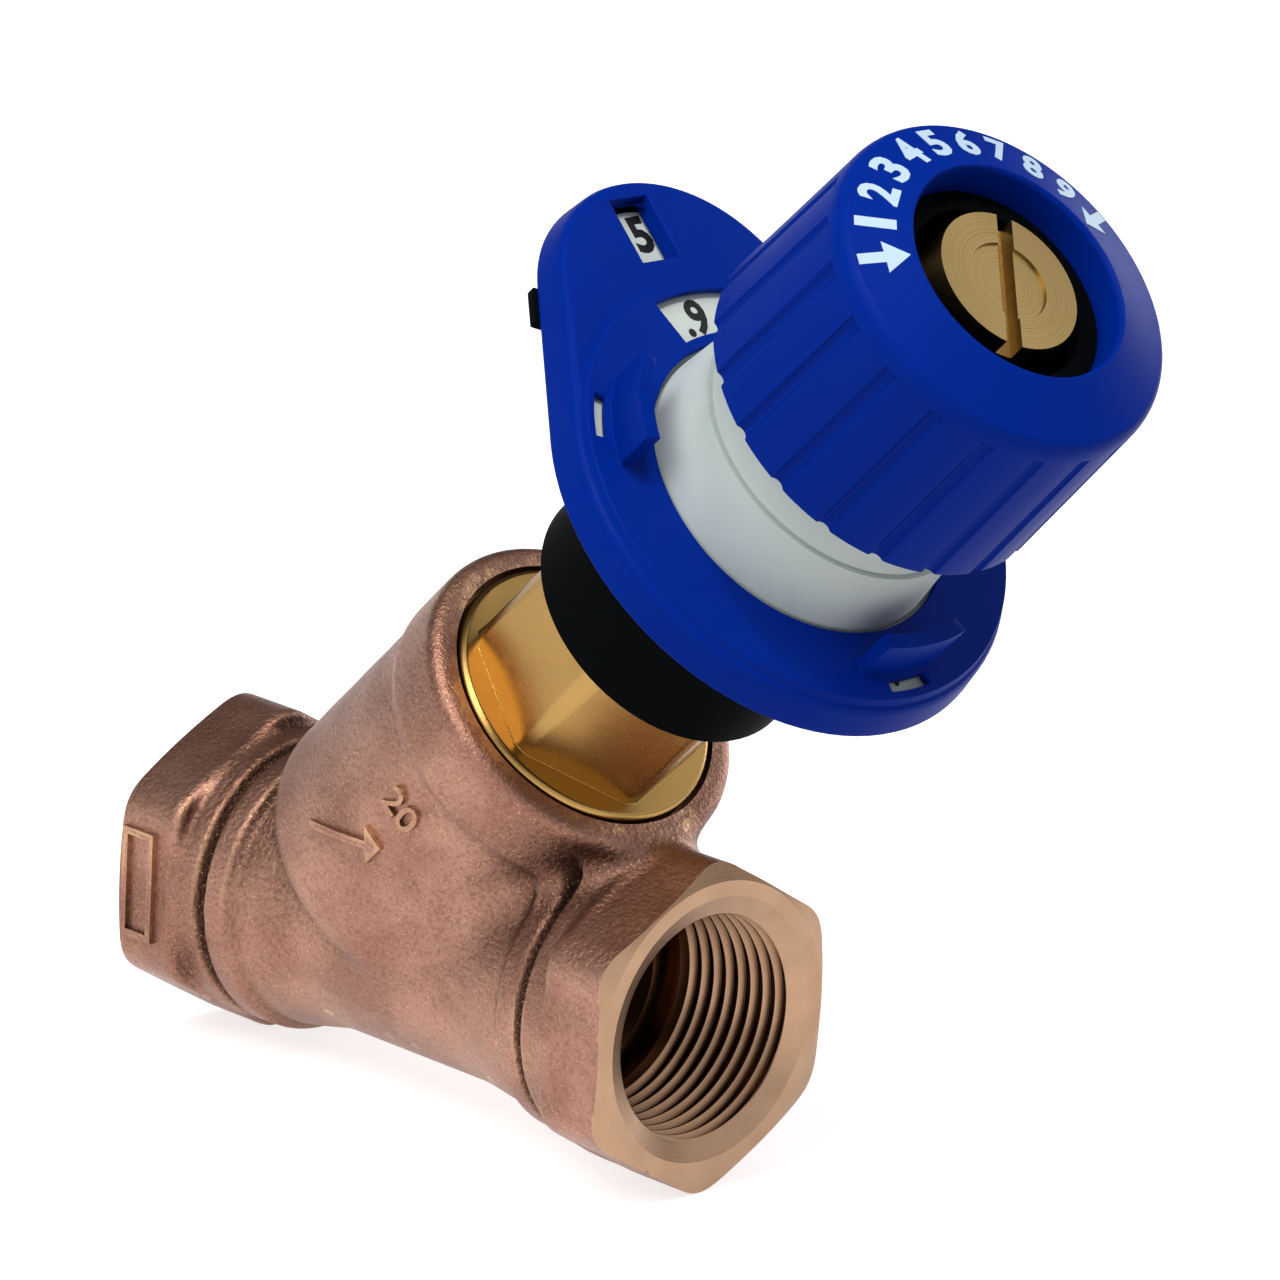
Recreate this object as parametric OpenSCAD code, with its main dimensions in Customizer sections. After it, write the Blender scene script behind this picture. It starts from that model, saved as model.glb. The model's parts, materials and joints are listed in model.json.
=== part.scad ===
// Double regulating balancing valve with oblique bonnet, counter display and memory stop
// The origin is the centre of the inlet mouth. X runs along the pipe, the bonnet leans over the outlet.

/* [Pipe body] */
// Length of the body between its two end faces
body_length = 75; // [72:0.5:80]
// Length of each hexagon along the pipe
hex_length = 9; // [7:0.5:10]
// Amount taken off each corner of the hexagons
hex_corner_cut = 0.7; // [0.1:0.1:1]
// Chamfer around each end face
hex_chamfer = 0.6; // [0.2:0.1:1]
// How much lower the second ring on the outlet side is
ring_past_step = 0.7; // [0.1:0.05:0.9]
// Width of one cast ring
ring_width = 3.2; // [2:0.1:3.6]
// Width of the groove between two cast rings
ring_groove = 0.9; // [0.4:0.1:1.4]
// Depth of the groove between two cast rings
ring_groove_depth = 0.6; // [0.2:0.1:1]
// Radius of the narrow middle of the pipe
waist_r = 13.45; // [13:0.05:15]
// Where the narrow middle begins, before the centre of the pipe
waist_before = 10; // [6:0.5:11]
// Where the narrow middle ends, past the centre of the pipe
waist_past = 10.5; // [8:0.5:12]
// Height of raised marks on the casting
mark_height = 0.5; // [0.3:0.1:0.8]
// Width of the strokes of the raised marks
mark_stroke = 0.8; // [0.5:0.1:1]
// Length of the raised frame along the pipe
frame_length = 4.9; // [3:0.1:6]
// Height of the raised frame
frame_height = 12.3; // [8:0.1:14]
// Length of the raised flow arrow
arrow_length = 11; // [6:0.5:12]
// Width of the head of the flow arrow
arrow_width = 4.2; // [3:0.1:5]
// Height of the flow arrow above the foot of the barrel
arrow_up = 13.5; // [12:0.5:18]

/* [Threaded ports] */
// Radius at the bottom of the thread grooves
thread_major_r = 13.22; // [13.1:0.01:13.4]
// Depth of the thread grooves
thread_depth = 1.16; // [1.06:0.01:1.26]
// Wall between the thread grooves and the outside of the cast rings
ring_wall = 2.98; // [2.6:0.01:3]
// Wall between the thread grooves and the flats of the hexagons
hex_wall = 3.055; // [2.8:0.005:3.8]
// Distance from one thread groove to the next
thread_pitch = 1.814; // [1.6:0.001:1.9]
// Number of thread grooves in each port
thread_turns = 8; // [6:1:9]
// Width of the flat crest between two grooves
thread_crest = 0.26; // [0.2:0.01:0.4]
// How much wider the mouth of each port is than its thread grooves
mouth_wider = 1.08; // [0.4:0.02:1.5]
// Depth of the countersunk mouth
mouth_depth = 1.1; // [0.6:0.1:1.6]
// Length of the plain bore behind the last groove
port_land = 1.3; // [1:0.1:1.6]
// Length of the wide relief behind that bore
relief_length = 2; // [1:0.1:2.4]
// Radius of the passage
passage_r = 10; // [8.5:0.1:10.4]

/* [Branch] */
// Where the branch axis meets the pipe axis, before the centre of the pipe
branch_before = 14.57; // [13.5:0.05:15.5]
// Lean of the branch from the vertical
branch_tilt = 45; // [44:0.5:46]
// Radius of the barrel of the branch
barrel_r = 17.9; // [17.4:0.05:18.4]
// Distance from the pipe axis to the foot of the barrel
barrel_foot = 7; // [6:0.1:7.5]
// Rounding of the foot of the barrel
barrel_foot_round = 4; // [3:0.1:4.5]
// Distance from the pipe axis to the top face of the branch
barrel_top = 43.9; // [43:0.1:46]
// Radius added by the thick band below the top face
band_proud = 0.6; // [0.3:0.05:1]
// Height of the thick band
band_height = 5.7; // [5:0.1:9]
// Height over which the barrel widens into the band
band_taper = 4.5; // [1:0.1:5]
// Rounding of the top edge of the branch
barrel_top_round = 1.3; // [0.8:0.1:1.6]
// Radius of the chamber above the seat
chamber_r = 13.6; // [13:0.1:13.8]
// Distance from the pipe axis to the floor of the chamber
chamber_floor = 9.5; // [9:0.1:10]
// Thickness of the wall that holds the seat
seat_wall = 3.5; // [2.5:0.1:4]
// Radius of the seat opening
seat_r = 9; // [8.5:0.1:9.2]
// Width of the seat lip
seat_lip = 2; // [1.2:0.1:2.2]
// Height of the seat lip above the floor of the chamber
seat_lip_height = 1; // [0.6:0.1:1.4]
// Depth of the recess in the top face for the bonnet flange
recess_depth = 3.1; // [2.5:0.1:3.5]
// Gap between the bonnet flange and the recess
recess_gap = 0.45; // [0.2:0.05:0.6]

/* [Bonnet] */
// Radius of the bonnet flange
flange_r = 15.2; // [15:0.05:15.6]
// Thickness of the bonnet flange
flange_thick = 3.5; // [3:0.1:4]
// Chamfer of the flange
flange_chamfer = 0.5; // [0.2:0.1:0.8]
// Width across the flats of the bonnet hexagon
bonnet_af = 24; // [23:0.1:25]
// Height of the bonnet hexagon
bonnet_hex_height = 19.2; // [18:0.1:21]
// Turn of the bonnet hexagon about its axis
bonnet_hex_turn = 50; // [0:1:60]
// Amount turned off the corners of the bonnet hexagon
bonnet_corner_cut = 0.45; // [0.2:0.05:0.6]
// Chamfer of the bonnet hexagon
bonnet_hex_chamfer = 0.8; // [0.4:0.1:1.2]
// Radius of the screwed skirt inside the body
skirt_r = 14.2; // [14:0.05:14.4]
// Length of the screwed skirt
skirt_length = 10.8; // [9:0.1:11.5]
// Radius of the boss above the bonnet hexagon
boss_r = 9.5; // [9:0.1:10]
// Height of the boss
boss_height = 6.5; // [6:0.1:8]
// Width across the flats of the guide for the disc carrier
guide_af = 18; // [17.4:0.1:18.4]
// Length of that guide, from the lower end of the skirt upwards
guide_length = 18; // [18:0.05:18.3]
// Thickness of the flange seal ring
bonnet_seal = 1.3; // [1:0.05:1.5]

/* [Spindle] */
// Radius of the stem through the bonnet
stem_r = 6; // [5.8:0.05:6.2]
// Radius of the screw that lifts the disc
screw_r = 6.5; // [6.2:0.05:6.8]
// Radius of the thrust collar
collar_r = 8.5; // [8:0.1:8.6]
// Thickness of the thrust collar
collar_thick = 2.4; // [2:0.1:3]
// Thickness of the thrust washer
washer_thick = 0.5; // [0.4:0.05:0.8]
// Distance from the guide's end down to the lower end of the screw
screw_reach = 20.4; // [20:0.1:21]
// Width across the flats of the drive on the stem
drive_af = 10.2; // [9.6:0.1:10.3]
// Radius of the threaded top of the spindle
tip_r = 5; // [4.8:0.05:5.1]
// Length of the threaded top of the spindle
tip_length = 4.5; // [4:0.1:6]
// Radius of the tapped bore for the stop rod
rod_bore_r = 3; // [2.8:0.05:3.2]
// Radius of the wide bore for the stop rod
wide_bore_r = 3.6; // [3.5:0.05:3.8]
// Radius at the floor of each stem seal groove
stem_groove_r = 4.65; // [4.5:0.05:4.8]
// Distance between the two stem seals
stem_seal_step = 5; // [4:0.5:6]
// Thickness of the retaining rings
clip_thick = 1; // [0.8:0.1:1.2]
// Radial width of the retaining rings
clip_width = 2.6; // [2:0.1:2.8]
// Depth of the grooves for the retaining rings
clip_groove_depth = 0.65; // [0.4:0.05:0.8]
// Opening of the retaining rings
clip_gap = 3; // [2:0.5:4]

/* [Stop rod] */
// Radius of the slotted head
head_r = 7.95; // [7.6:0.05:8.2]
// Thickness of the slotted head
head_thick = 5; // [4:0.1:6]
// Depth of the head below the rim of the handwheel
head_sunk = 1.8; // [1.4:0.1:2.4]
// Width of the screwdriver slot
slot_width = 1.8; // [1.4:0.1:2.2]
// Depth of the screwdriver slot
slot_depth = 2; // [1.5:0.1:2.5]
// Direction of the slot
slot_turn = 150; // [0:5:180]
// Radius of the turned dish in the head
head_dish_r = 4.4; // [4:0.1:5]
// Depth of the turned dish in the head
head_dish_depth = 0.3; // [0.2:0.05:0.5]
// Radius at the floor of the rod seal groove
rod_groove_r = 2.6; // [2.4:0.05:2.8]
// Free way of the rod above the floor of the disc carrier
rod_free = 2.8; // [2.7:0.1:3.2]

/* [Disc] */
// Lift of the disc in the position that the display shows
lift = 8.85; // [8.4:0.05:9]
// Spare lift past that position
lift_spare = 0.15; // [0.15:0.01:0.2]
// Thickness of the floor of the disc carrier
carrier_floor = 2.6; // [2.4:0.1:2.8]
// Thickness of the flat disc seal
disc_seal_thick = 2; // [1.6:0.1:2.2]
// Thickness of the disc above its seal
disc_thick = 3; // [2.6:0.1:3.2]
// Thickness of the rim around the disc seal
disc_rim = 0.8; // [0.6:0.1:1]
// Depth of the rim around the disc seal
disc_rim_depth = 1.2; // [0.8:0.1:1.4]
// Length of the throttling cone
cone_length = 5; // [4:0.1:6]
// Radius at the lower end of the throttling cone
cone_tip_r = 5.2; // [4.8:0.1:6]
// Radius of the disc screw
disc_screw_r = 2.5; // [2.2:0.1:2.7]
// Width across the flats of the disc screw head
disc_screw_af = 7; // [6:0.1:8]
// Height of the disc screw head
disc_screw_head = 2.2; // [1.8:0.1:2.6]

/* [Display housing] */
// Radius of the black sleeve below the display
sleeve_r = 15.4; // [15:0.1:15.8]
// Length that the sleeve reaches over the bonnet hexagon
sleeve_over = 3.5; // [2:0.1:5]
// Thickness of the shoulder inside the sleeve
sleeve_shoulder = 2; // [1.5:0.1:2.5]
// Length of the sleeve from its lower edge to the floor of the display
sleeve_length = 18.5; // [18:0.1:19]
// Wall of the sleeve above its shoulder
sleeve_wall = 2.9; // [2:0.1:3.2]
// Radius of the lobe of the display
lobe_r = 16.2; // [15.8:0.1:16.6]
// Distance from the centre of the lobe out to the axis of the number wheel
lobe_back = 3.6; // [3.2:0.1:4]
// Thickness of the floor of the display
floor_thick = 1; // [0.8:0.1:1.2]
// Height of the rim that stands on the floor
rim_height = 2.4; // [2.2:0.1:2.6]
// Thickness of that rim
rim_thick = 0.9; // [0.7:0.05:1]
// Height of the cover above the floor's underside
cover_rise = 6.4; // [6.3:0.05:6.6]
// Height of the cover from its lower edge to the round top
cover_height = 5.1; // [4.8:0.1:5.3]
// Thickness of the side walls of the cover
cover_wall = 1.4; // [1.2:0.05:1.6]
// Thickness of the top of the cover
cover_top = 0.9; // [0.8:0.05:1]
// Step from the round top down to the lobe
lobe_step = 0.9; // [0.6:0.05:1]
// Rounding of the upper edge of the cover
cover_round = 1; // [0.6:0.1:1.2]
// Draft of the side walls of the cover
cover_draft = 0.4; // [0.2:0.05:0.6]
// Inset of the raised round top
top_inset = 1.3; // [1:0.1:1.5]
// Distance from the axis of the number wheel to the centre of its window
window_off = 6.25; // [6:0.05:6.5]
// Sideways place of the number window
window_side = 0.9; // [0.3:0.05:1.2]
// Length of the number window
window_length = 7.5; // [7:0.1:7.7]
// Width of the number window
window_width = 4.8; // [4:0.1:5.4]
// Thickness of the walls below the number window
window_wall = 0.8; // [0.6:0.1:1]
// Width of the slope beside the number window
window_slope = 0.5; // [0.3:0.1:1]
// Distance from the edge of the dial in to the sector window
sector_margin = 0.75; // [0.65:0.05:1]
// Length of the sector window, measured from the axis outwards
sector_length = 5; // [4.5:0.1:5.2]
// Half angle of the sector window
sector_half = 14; // [10:1:16]
// Distance from the foot of the dial collar out to the three guards
guard_clear = 3.5; // [3:0.1:4]
// Distance from the three guards out to the slots beside them
guard_margin = 0.7; // [0.5:0.1:1]
// Thickness of the guards
guard_thick = 1.7; // [1.4:0.1:2]
// Height of the guards
guard_height = 5.1; // [4:0.1:6]
// Half angle of each guard
guard_half = 14.2; // [12:0.2:16]
// Distance from the outside of the cover in to the slots beside the guards
slot_margin = 2.2; // [2.1:0.1:2.4]
// Width of those slots
guard_slot = 1.3; // [1.1:0.1:1.4]
// Half angle of each slot
slot_half = 6.4; // [5:0.2:8]
// Length of each latch tab
tab_length = 4.4; // [4:0.1:5.2]
// How far each latch tab stands out of the cover
tab_proud = 0.4; // [0.2:0.1:0.9]

/* [Dials] */
// Distance from the outside of the cover in to the edge of the tenths dial
dial_margin = 2.15; // [2:0.05:2.4]
// Thickness of the tenths dial
dial_thick = 1.2; // [1:0.1:1.4]
// Radius of the dial collar at its foot
dial_collar_r = 17; // [16.7:0.05:17.1]
// How much the dial collar narrows to its top
dial_collar_taper = 1; // [0.6:0.05:1.4]
// Height of the dial collar above the dial
dial_collar_height = 9; // [8.8:0.1:9.2]
// Wall of the dial collar
dial_collar_wall = 1.8; // [1.4:0.1:2]
// Radius of the hubs on the spindle
hub_r = 8.5; // [8:0.1:8.8]
// Radius of the number wheel
wheel_r = 9.6; // [9.2:0.05:9.7]
// Thickness of the number wheel
wheel_thick = 0.8; // [0.7:0.05:0.9]
// Radius of the pinion under the number wheel
pinion_r = 7; // [6.6:0.1:7]
// Depth of the teeth of the pinion
pinion_tooth = 1.2; // [0.8:0.1:1.4]
// Number of teeth of the pinion
pinion_teeth = 6; // [5:1:12]
// Radius of the axle of the number wheel
axle_r = 1.5; // [1.2:0.1:1.8]
// Width of the driving finger
finger_width = 1.6; // [1.2:0.1:2]

/* [Handwheel] */
// Radius at the lower edge of the handwheel
wheel_foot_r = 19.8; // [19.4:0.1:20.2]
// Radius near the top of the handwheel
wheel_top_r = 19.2; // [18.9:0.1:19.4]
// Height of the handwheel side up to its rounding
wheel_side = 19.8; // [19:0.1:21]
// Height of the rounding of the handwheel
wheel_round_height = 2.5; // [2:0.1:3]
// Radius of the edge where the top begins
wheel_edge_r = 18.1; // [17.8:0.1:18.4]
// Rise of the shallow top to the rim of its hole
wheel_rise = 2.2; // [1.8:0.1:2.6]
// Radius of the hole in the top
wheel_hole_r = 12.35; // [12.2:0.05:12.6]
// Radius of the well below the hole
well_r = 12; // [11.8:0.05:12.1]
// Wall of the well
well_wall = 1.9; // [1.5:0.1:2.2]
// Side wall of the handwheel
wheel_wall = 2; // [1.6:0.1:2.4]
// Number of grip grooves
grip_count = 20; // [12:1:24]
// Radius of the cutter of each grip groove
grip_cutter_r = 0.85; // [0.7:0.05:1]
// Depth of each grip groove
grip_depth = 0.5; // [0.3:0.05:0.6]
// Thickness of the web of the handwheel
web_thick = 3; // [2.5:0.1:3.5]
// Height of the white drive sleeve
drive_height = 8.2; // [8:0.1:8.4]
// Radius of the white drive sleeve
drive_sleeve_r = 15.5; // [15.2:0.1:15.8]
// Wall of the white drive sleeve
drive_sleeve_wall = 1.4; // [1.2:0.1:1.5]
// Height of the handwheel's lower edge below the top of the drive sleeve
wheel_over = 1.3; // [1:0.1:2]
// Width across the flats of the handwheel nut
nut_af = 14; // [13:0.1:14.5]
// Height of the handwheel nut
nut_height = 3.4; // [3:0.1:3.8]
// Wall of the black insert in the well
insert_wall = 2.25; // [2:0.05:2.4]
// Depth of the insert below the rim of the hole
insert_sunk = 4; // [1:0.1:5]

/* [Clearances] */
// Radial gap of turning and sliding fits
run_gap = 0.05; // [0.03:0.01:0.08]
// Radial gap of fixed fits
fix_gap = 0.03; // [0.02:0.01:0.05]
// Gap along the axis beside turning pieces
end_gap = 0.05; // [0.03:0.01:0.08]
// Gap between moving pieces that do not guide each other
free_gap = 0.3; // [0.3:0.01:0.4]
// Gap left by a seal ring in its groove
seal_gap = 0.02; // [0.01:0.005:0.03]

/* [Hidden] */
$fn = 96;

// How far a cutter reaches past the face that it opens
over = 1;
half_length = body_length / 2;
thread_minor_r = thread_major_r - thread_depth;
mouth_r = thread_major_r + mouth_wider;
ring_r = thread_major_r + ring_wall;
ring_past_r = ring_r - ring_past_step;
hex_af = 2 * (thread_major_r + hex_wall);
branch_x = half_length - branch_before;

// Heights along the branch axis, from the pipe axis upwards
seat_top = chamber_floor + seat_lip_height;
seat_under = chamber_floor - seat_wall;
flange_seat = barrel_top - recess_depth;
flange_top = flange_seat + flange_thick;
skirt_end = flange_seat - skirt_length;
hex_top = flange_top + bonnet_hex_height;
boss_top = hex_top + boss_height;
guide_end = skirt_end + guide_length;
collar_top = guide_end - washer_thick - 2 * end_gap;
collar_under = collar_top - collar_thick;
screw_end = guide_end - screw_reach;
stem_seal_low = guide_end + stem_seal_step;
sleeve_foot = hex_top - sleeve_over;
floor_under = sleeve_foot + sleeve_length;
floor_top = floor_under + floor_thick;
cover_crown = floor_under + cover_rise;
cover_foot = cover_crown - cover_height;
lobe_top = cover_crown - lobe_step;
dial_top = cover_crown - cover_top - 4 * end_gap;
dial_under = dial_top - dial_thick;
pinion_under = floor_top + free_gap;
finger_top = pinion_under + wheel_thick;
wheel_under = finger_top + free_gap;
wheel_face = wheel_under + wheel_thick;
dial_collar_top = dial_top + dial_collar_height;
drive_shoulder = boss_top + 2 * clip_thick + free_gap;
drive_top = dial_collar_top + drive_height;
wheel_foot = drive_top - wheel_over;
wheel_crown = wheel_foot + wheel_side + wheel_round_height + wheel_rise;
web_top = drive_top + web_thick;
spindle_top = web_top + tip_length;
head_top = wheel_crown - head_sunk;
head_under = head_top - head_thick;

// The disc, its carrier and the stop rod in the shown position
disc_seal_face = seat_top + end_gap + lift;
disc_under = disc_seal_face + disc_seal_thick;
carrier_foot = disc_under + disc_thick;
carrier_inside = carrier_foot + carrier_floor;
disc_seal_r = seat_r + seat_lip + 4 * end_gap;
cone_r = seat_r - free_gap;
carrier_top = collar_under - lift_spare - free_gap;
rod_end = carrier_inside + rod_free;
rod_step = guide_end + 2 * stem_seal_step + 2 * collar_thick;
rod_seal_height = rod_step + 2 * stem_r;
wide_bore_floor = rod_step - collar_thick;

// Radii that grow outwards from the dial collar, and places that follow the number wheel
dial_collar_top_r = dial_collar_r - dial_collar_taper;
guard_r = dial_collar_r + guard_clear + guard_thick;
slot_in = guard_r + guard_margin;
slot_out = slot_in + guard_slot;
cover_r = slot_out + slot_margin;
dial_r = cover_r - dial_margin;
sector_out = dial_r - sector_margin;
sector_in = sector_out - sector_length;
drive_ring_r = dial_collar_top_r - 2 * end_gap;
wheel_up = dial_collar_top_r + wheel_r;
lobe_up = wheel_up - lobe_back;
window_up = wheel_up + window_off;

cover_in = cover_wall + fix_gap * 5;
side_angle = acos((cover_r - lobe_r) / lobe_up);
side_length = lobe_up * sin(side_angle);

// Points of an arc around a centre, for outlines
function arc(cx, cy, r, a0, a1, n) =
    [for (i = [0:n]) [cx + r * cos(a0 + (a1 - a0) * i / n), cy + r * sin(a0 + (a1 - a0) * i / n)]];

// Points that ease from one place and radius to another
function ease(x0, r0, x1, r1, n) =
    [for (i = [0:n]) [r0 + (r1 - r0) * (1 - cos(180 * i / n)) / 2, x0 + (x1 - x0) * i / n]];

module along_pipe() {
    translate([half_length, 0, 0]) rotate([0, 90, 0]) children();
}

module on_branch() {
    translate([branch_x, 0, 0]) rotate([0, branch_tilt, 0]) rotate([0, 0, 180]) children();
}

module tube(r_out, r_in, z0, z1) {
    translate([0, 0, z0]) difference() {
        cylinder(r = r_out, h = z1 - z0);
        translate([0, 0, -over]) cylinder(r = r_in, h = z1 - z0 + 2 * over);
    }
}

module rod(r, z0, z1) {
    translate([0, 0, z0]) cylinder(r = r, h = z1 - z0);
}

module hex_rod(af, z0, z1) {
    translate([0, 0, z0]) cylinder(r = af / (2 * cos(30)), h = z1 - z0, $fn = 6);
}

module seal_ring(r_in, r_out, z) {
    minor = (r_out - r_in) / 2 - seal_gap;
    translate([0, 0, z]) rotate_extrude() translate([(r_out + r_in) / 2, 0]) circle(r = minor, $fn = 32);
}

module retaining_ring(r_in, z) {
    difference() {
        tube(r_in + clip_width, r_in, z, z + clip_thick);
        translate([-r_in - 2 * clip_width, -clip_gap / 2, z - over])
            cube([r_in + 2 * clip_width, clip_gap, clip_thick + 2 * over]);
    }
}

module ring_sector(r_in, r_out, middle, half, height) {
    reach = 2 * r_out;
    linear_extrude(height) intersection() {
        difference() {
            circle(r = r_out);
            circle(r = r_in);
        }
        polygon([
            [0, 0],
            [reach * cos(middle - half), reach * sin(middle - half)],
            [reach * cos(middle + half), reach * sin(middle + half)]
        ]);
    }
}

// Outline of the display: a circle, a lobe and the two straight sides that touch both
module display_outline(inset) {
    big = cover_r - inset;
    small = lobe_r - inset;
    circle(r = big);
    translate([lobe_up, 0]) circle(r = small);
    polygon([
        [big * cos(side_angle), big * sin(side_angle)],
        [lobe_up + small * cos(side_angle), small * sin(side_angle)],
        [lobe_up + small * cos(side_angle), -small * sin(side_angle)],
        [big * cos(side_angle), -big * sin(side_angle)]
    ]);
}

// Frame on one straight side of the display: X along the side, Y outwards
module on_side(way) {
    scale([1, way, 1])
        translate([cover_r * cos(side_angle), cover_r * sin(side_angle), 0])
            rotate([0, 0, side_angle - 90]) children();
}

// Half of the outside of the pipe with its cast rings, from the waist outwards
function ring_outline(waist_end, second_r) = concat(
    ease(waist_end, waist_r, half_length - hex_length - 2 * ring_width - ring_groove, second_r, 8),
    [
        [second_r, half_length - hex_length - ring_width - ring_groove],
        [second_r - ring_groove_depth, half_length - hex_length - ring_width - ring_groove * 3 / 4],
        [second_r - ring_groove_depth, half_length - hex_length - ring_width - ring_groove / 4],
        [ring_r, half_length - hex_length - ring_width],
        [ring_r, half_length - hex_length + over]
    ]
);

module hex_end(way) {
    scale([1, 1, way]) translate([0, 0, half_length - hex_length]) intersection() {
        hex_rod(hex_af, 0, hex_length);
        union() {
            corner_r = hex_af / (2 * cos(30)) - hex_corner_cut;
            rod(corner_r, 0, hex_length - hex_chamfer);
            translate([0, 0, hex_length - hex_chamfer])
                cylinder(r1 = corner_r, r2 = hex_af / 2 - hex_chamfer / 2, h = hex_chamfer);
        }
    }
}

// Everything that is cut out of one port: mouth, thread grooves, plain bore, relief
module port_cut(way) {
    crest = thread_crest / 2;
    groove = thread_pitch / 2;
    last = mouth_depth + thread_turns * thread_pitch;
    grooves = [for (i = [0:thread_turns - 1], p = [
            [thread_minor_r, crest],
            [thread_major_r, groove - crest / 2],
            [thread_major_r, groove + crest / 2],
            [thread_minor_r, thread_pitch - crest]
        ]) [p[0], -(mouth_depth + i * thread_pitch + p[1])]];
    scale([1, 1, way]) translate([0, 0, half_length]) rotate_extrude() polygon(concat(
        [[0, over], [mouth_r + over, over], [mouth_r, 0], [thread_minor_r, -mouth_depth]],
        grooves,
        [
            [thread_minor_r, -last - port_land],
            [thread_major_r, -last - port_land - crest],
            [thread_major_r, -last - port_land - relief_length],
            [0, -last - port_land - relief_length]
        ]
    ));
}

module passage_cut() {
    thread_end = half_length - mouth_depth - thread_turns * thread_pitch;
    port_end = thread_end - port_land - relief_length + over;
    difference() {
        along_pipe() rod(passage_r, -port_end, passage_r);
        on_branch() rod(2 * half_length, seat_under, 2 * half_length);
    }
    difference() {
        along_pipe() rod(passage_r, -branch_before, port_end);
        on_branch() rod(2 * half_length, -2 * half_length, chamber_floor);
    }
}

module chamber_cut() {
    rod(seat_r, -passage_r / 4, chamber_floor + over);
    difference() {
        rod(chamber_r, chamber_floor, flange_seat);
        tube(seat_r + seat_lip, seat_r, chamber_floor - over, seat_top);
    }
    rod(skirt_r + fix_gap, skirt_end - free_gap, barrel_top);
    rod(flange_r + recess_gap, flange_seat, barrel_top + over);
}

module barrel() {
    band_r = barrel_r + band_proud;
    foot_r = barrel_r - barrel_foot_round;
    rotate_extrude() polygon(concat(
        [[0, barrel_foot]],
        arc(foot_r, barrel_foot + barrel_foot_round, barrel_foot_round, -90, 0, 8),
        [
            [barrel_r, barrel_top - band_height - band_taper],
            [band_r, barrel_top - band_height]
        ],
        arc(band_r - barrel_top_round, barrel_top - barrel_top_round, barrel_top_round, 0, 90, 6),
        [[0, barrel_top]]
    ));
}

// Plain raised frame on the front flat of the inlet hexagon
module raised_frame() {
    x = (hex_length - frame_length) / 4;
    translate([x, -hex_af / 2 - mark_height, -frame_height / 2]) difference() {
        cube([frame_length, mark_height + over, frame_height]);
        translate([mark_stroke, -over, mark_stroke])
            cube([frame_length - 2 * mark_stroke, mark_height + 3 * over, frame_height - 2 * mark_stroke]);
    }
}

// Flow arrow on the front of the barrel, pointing to the outlet
module raised_arrow() {
    head = arrow_width / 2;
    intersection() {
        rod(barrel_r + mark_height, barrel_foot, barrel_top);
        translate([0, 0, barrel_foot + arrow_up]) rotate([-90, 0, 0]) rotate([0, 0, 180 + branch_tilt])
            translate([-arrow_length / 2, 0, 0]) linear_extrude(2 * barrel_r) polygon([
                [0, -mark_stroke / 2],
                [arrow_length - head, -mark_stroke / 2],
                [arrow_length - head, -head],
                [arrow_length, 0],
                [arrow_length - head, head],
                [arrow_length - head, mark_stroke / 2],
                [0, mark_stroke / 2]
            ]);
    }
}

module valve_body() {
    color([0.62, 0.42, 0.33]) difference() {
        union() {
            along_pipe() {
                rotate_extrude() polygon(concat(
                    [[0, -waist_before], [waist_r, -waist_before], [waist_r, waist_past]],
                    ring_outline(waist_past, ring_past_r),
                    [[0, half_length - hex_length + over]]
                ));
                scale([1, 1, -1]) rotate_extrude() polygon(concat(
                    [[0, waist_before - over], [waist_r, waist_before - over]],
                    ring_outline(waist_before, ring_r),
                    [[0, half_length - hex_length + over]]
                ));
                hex_end(1);
                hex_end(-1);
            }
            on_branch() {
                barrel();
                raised_arrow();
            }
            raised_frame();
        }
        along_pipe() {
            port_cut(1);
            port_cut(-1);
        }
        passage_cut();
        on_branch() chamber_cut();
    }
}

module bonnet() {
    corner_r = bonnet_af / (2 * cos(30)) - bonnet_corner_cut;
    color([0.78, 0.62, 0.32]) on_branch() difference() {
        union() {
            rod(skirt_r, skirt_end, flange_seat);
            rod(flange_r, flange_seat, flange_top - flange_chamfer);
            translate([0, 0, flange_top - flange_chamfer])
                cylinder(r1 = flange_r, r2 = flange_r - flange_chamfer, h = flange_chamfer);
            intersection() {
                rotate([0, 0, bonnet_hex_turn]) hex_rod(bonnet_af, flange_top - flange_chamfer, hex_top);
                union() {
                    rod(corner_r, flange_top - over, hex_top - bonnet_hex_chamfer);
                    translate([0, 0, hex_top - bonnet_hex_chamfer]) cylinder(
                        r1 = corner_r, r2 = corner_r - 2 * bonnet_hex_chamfer, h = bonnet_hex_chamfer);
                }
            }
            rod(boss_r, hex_top - over, boss_top);
        }
        tube(skirt_r + over, skirt_r - bonnet_seal, flange_seat - bonnet_seal, flange_seat);
        tube(boss_r + over, boss_r - clip_groove_depth, hex_top + sleeve_shoulder,
            hex_top + sleeve_shoulder + clip_thick + end_gap);
        hex_rod(guide_af + 2 * run_gap, skirt_end - over, guide_end);
        rod(stem_r + run_gap, guide_end - over, boss_top + over);
    }
}

module bonnet_seal_ring() {
    r_in = skirt_r - bonnet_seal;
    color([0.08, 0.08, 0.08]) on_branch()
        seal_ring(r_in, skirt_r + fix_gap, flange_seat - bonnet_seal / 2);
}

module thrust_washer() {
    color([0.92, 0.92, 0.9]) on_branch()
        tube(collar_r, stem_r + run_gap, collar_top + end_gap, collar_top + end_gap + washer_thick);
}

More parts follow.
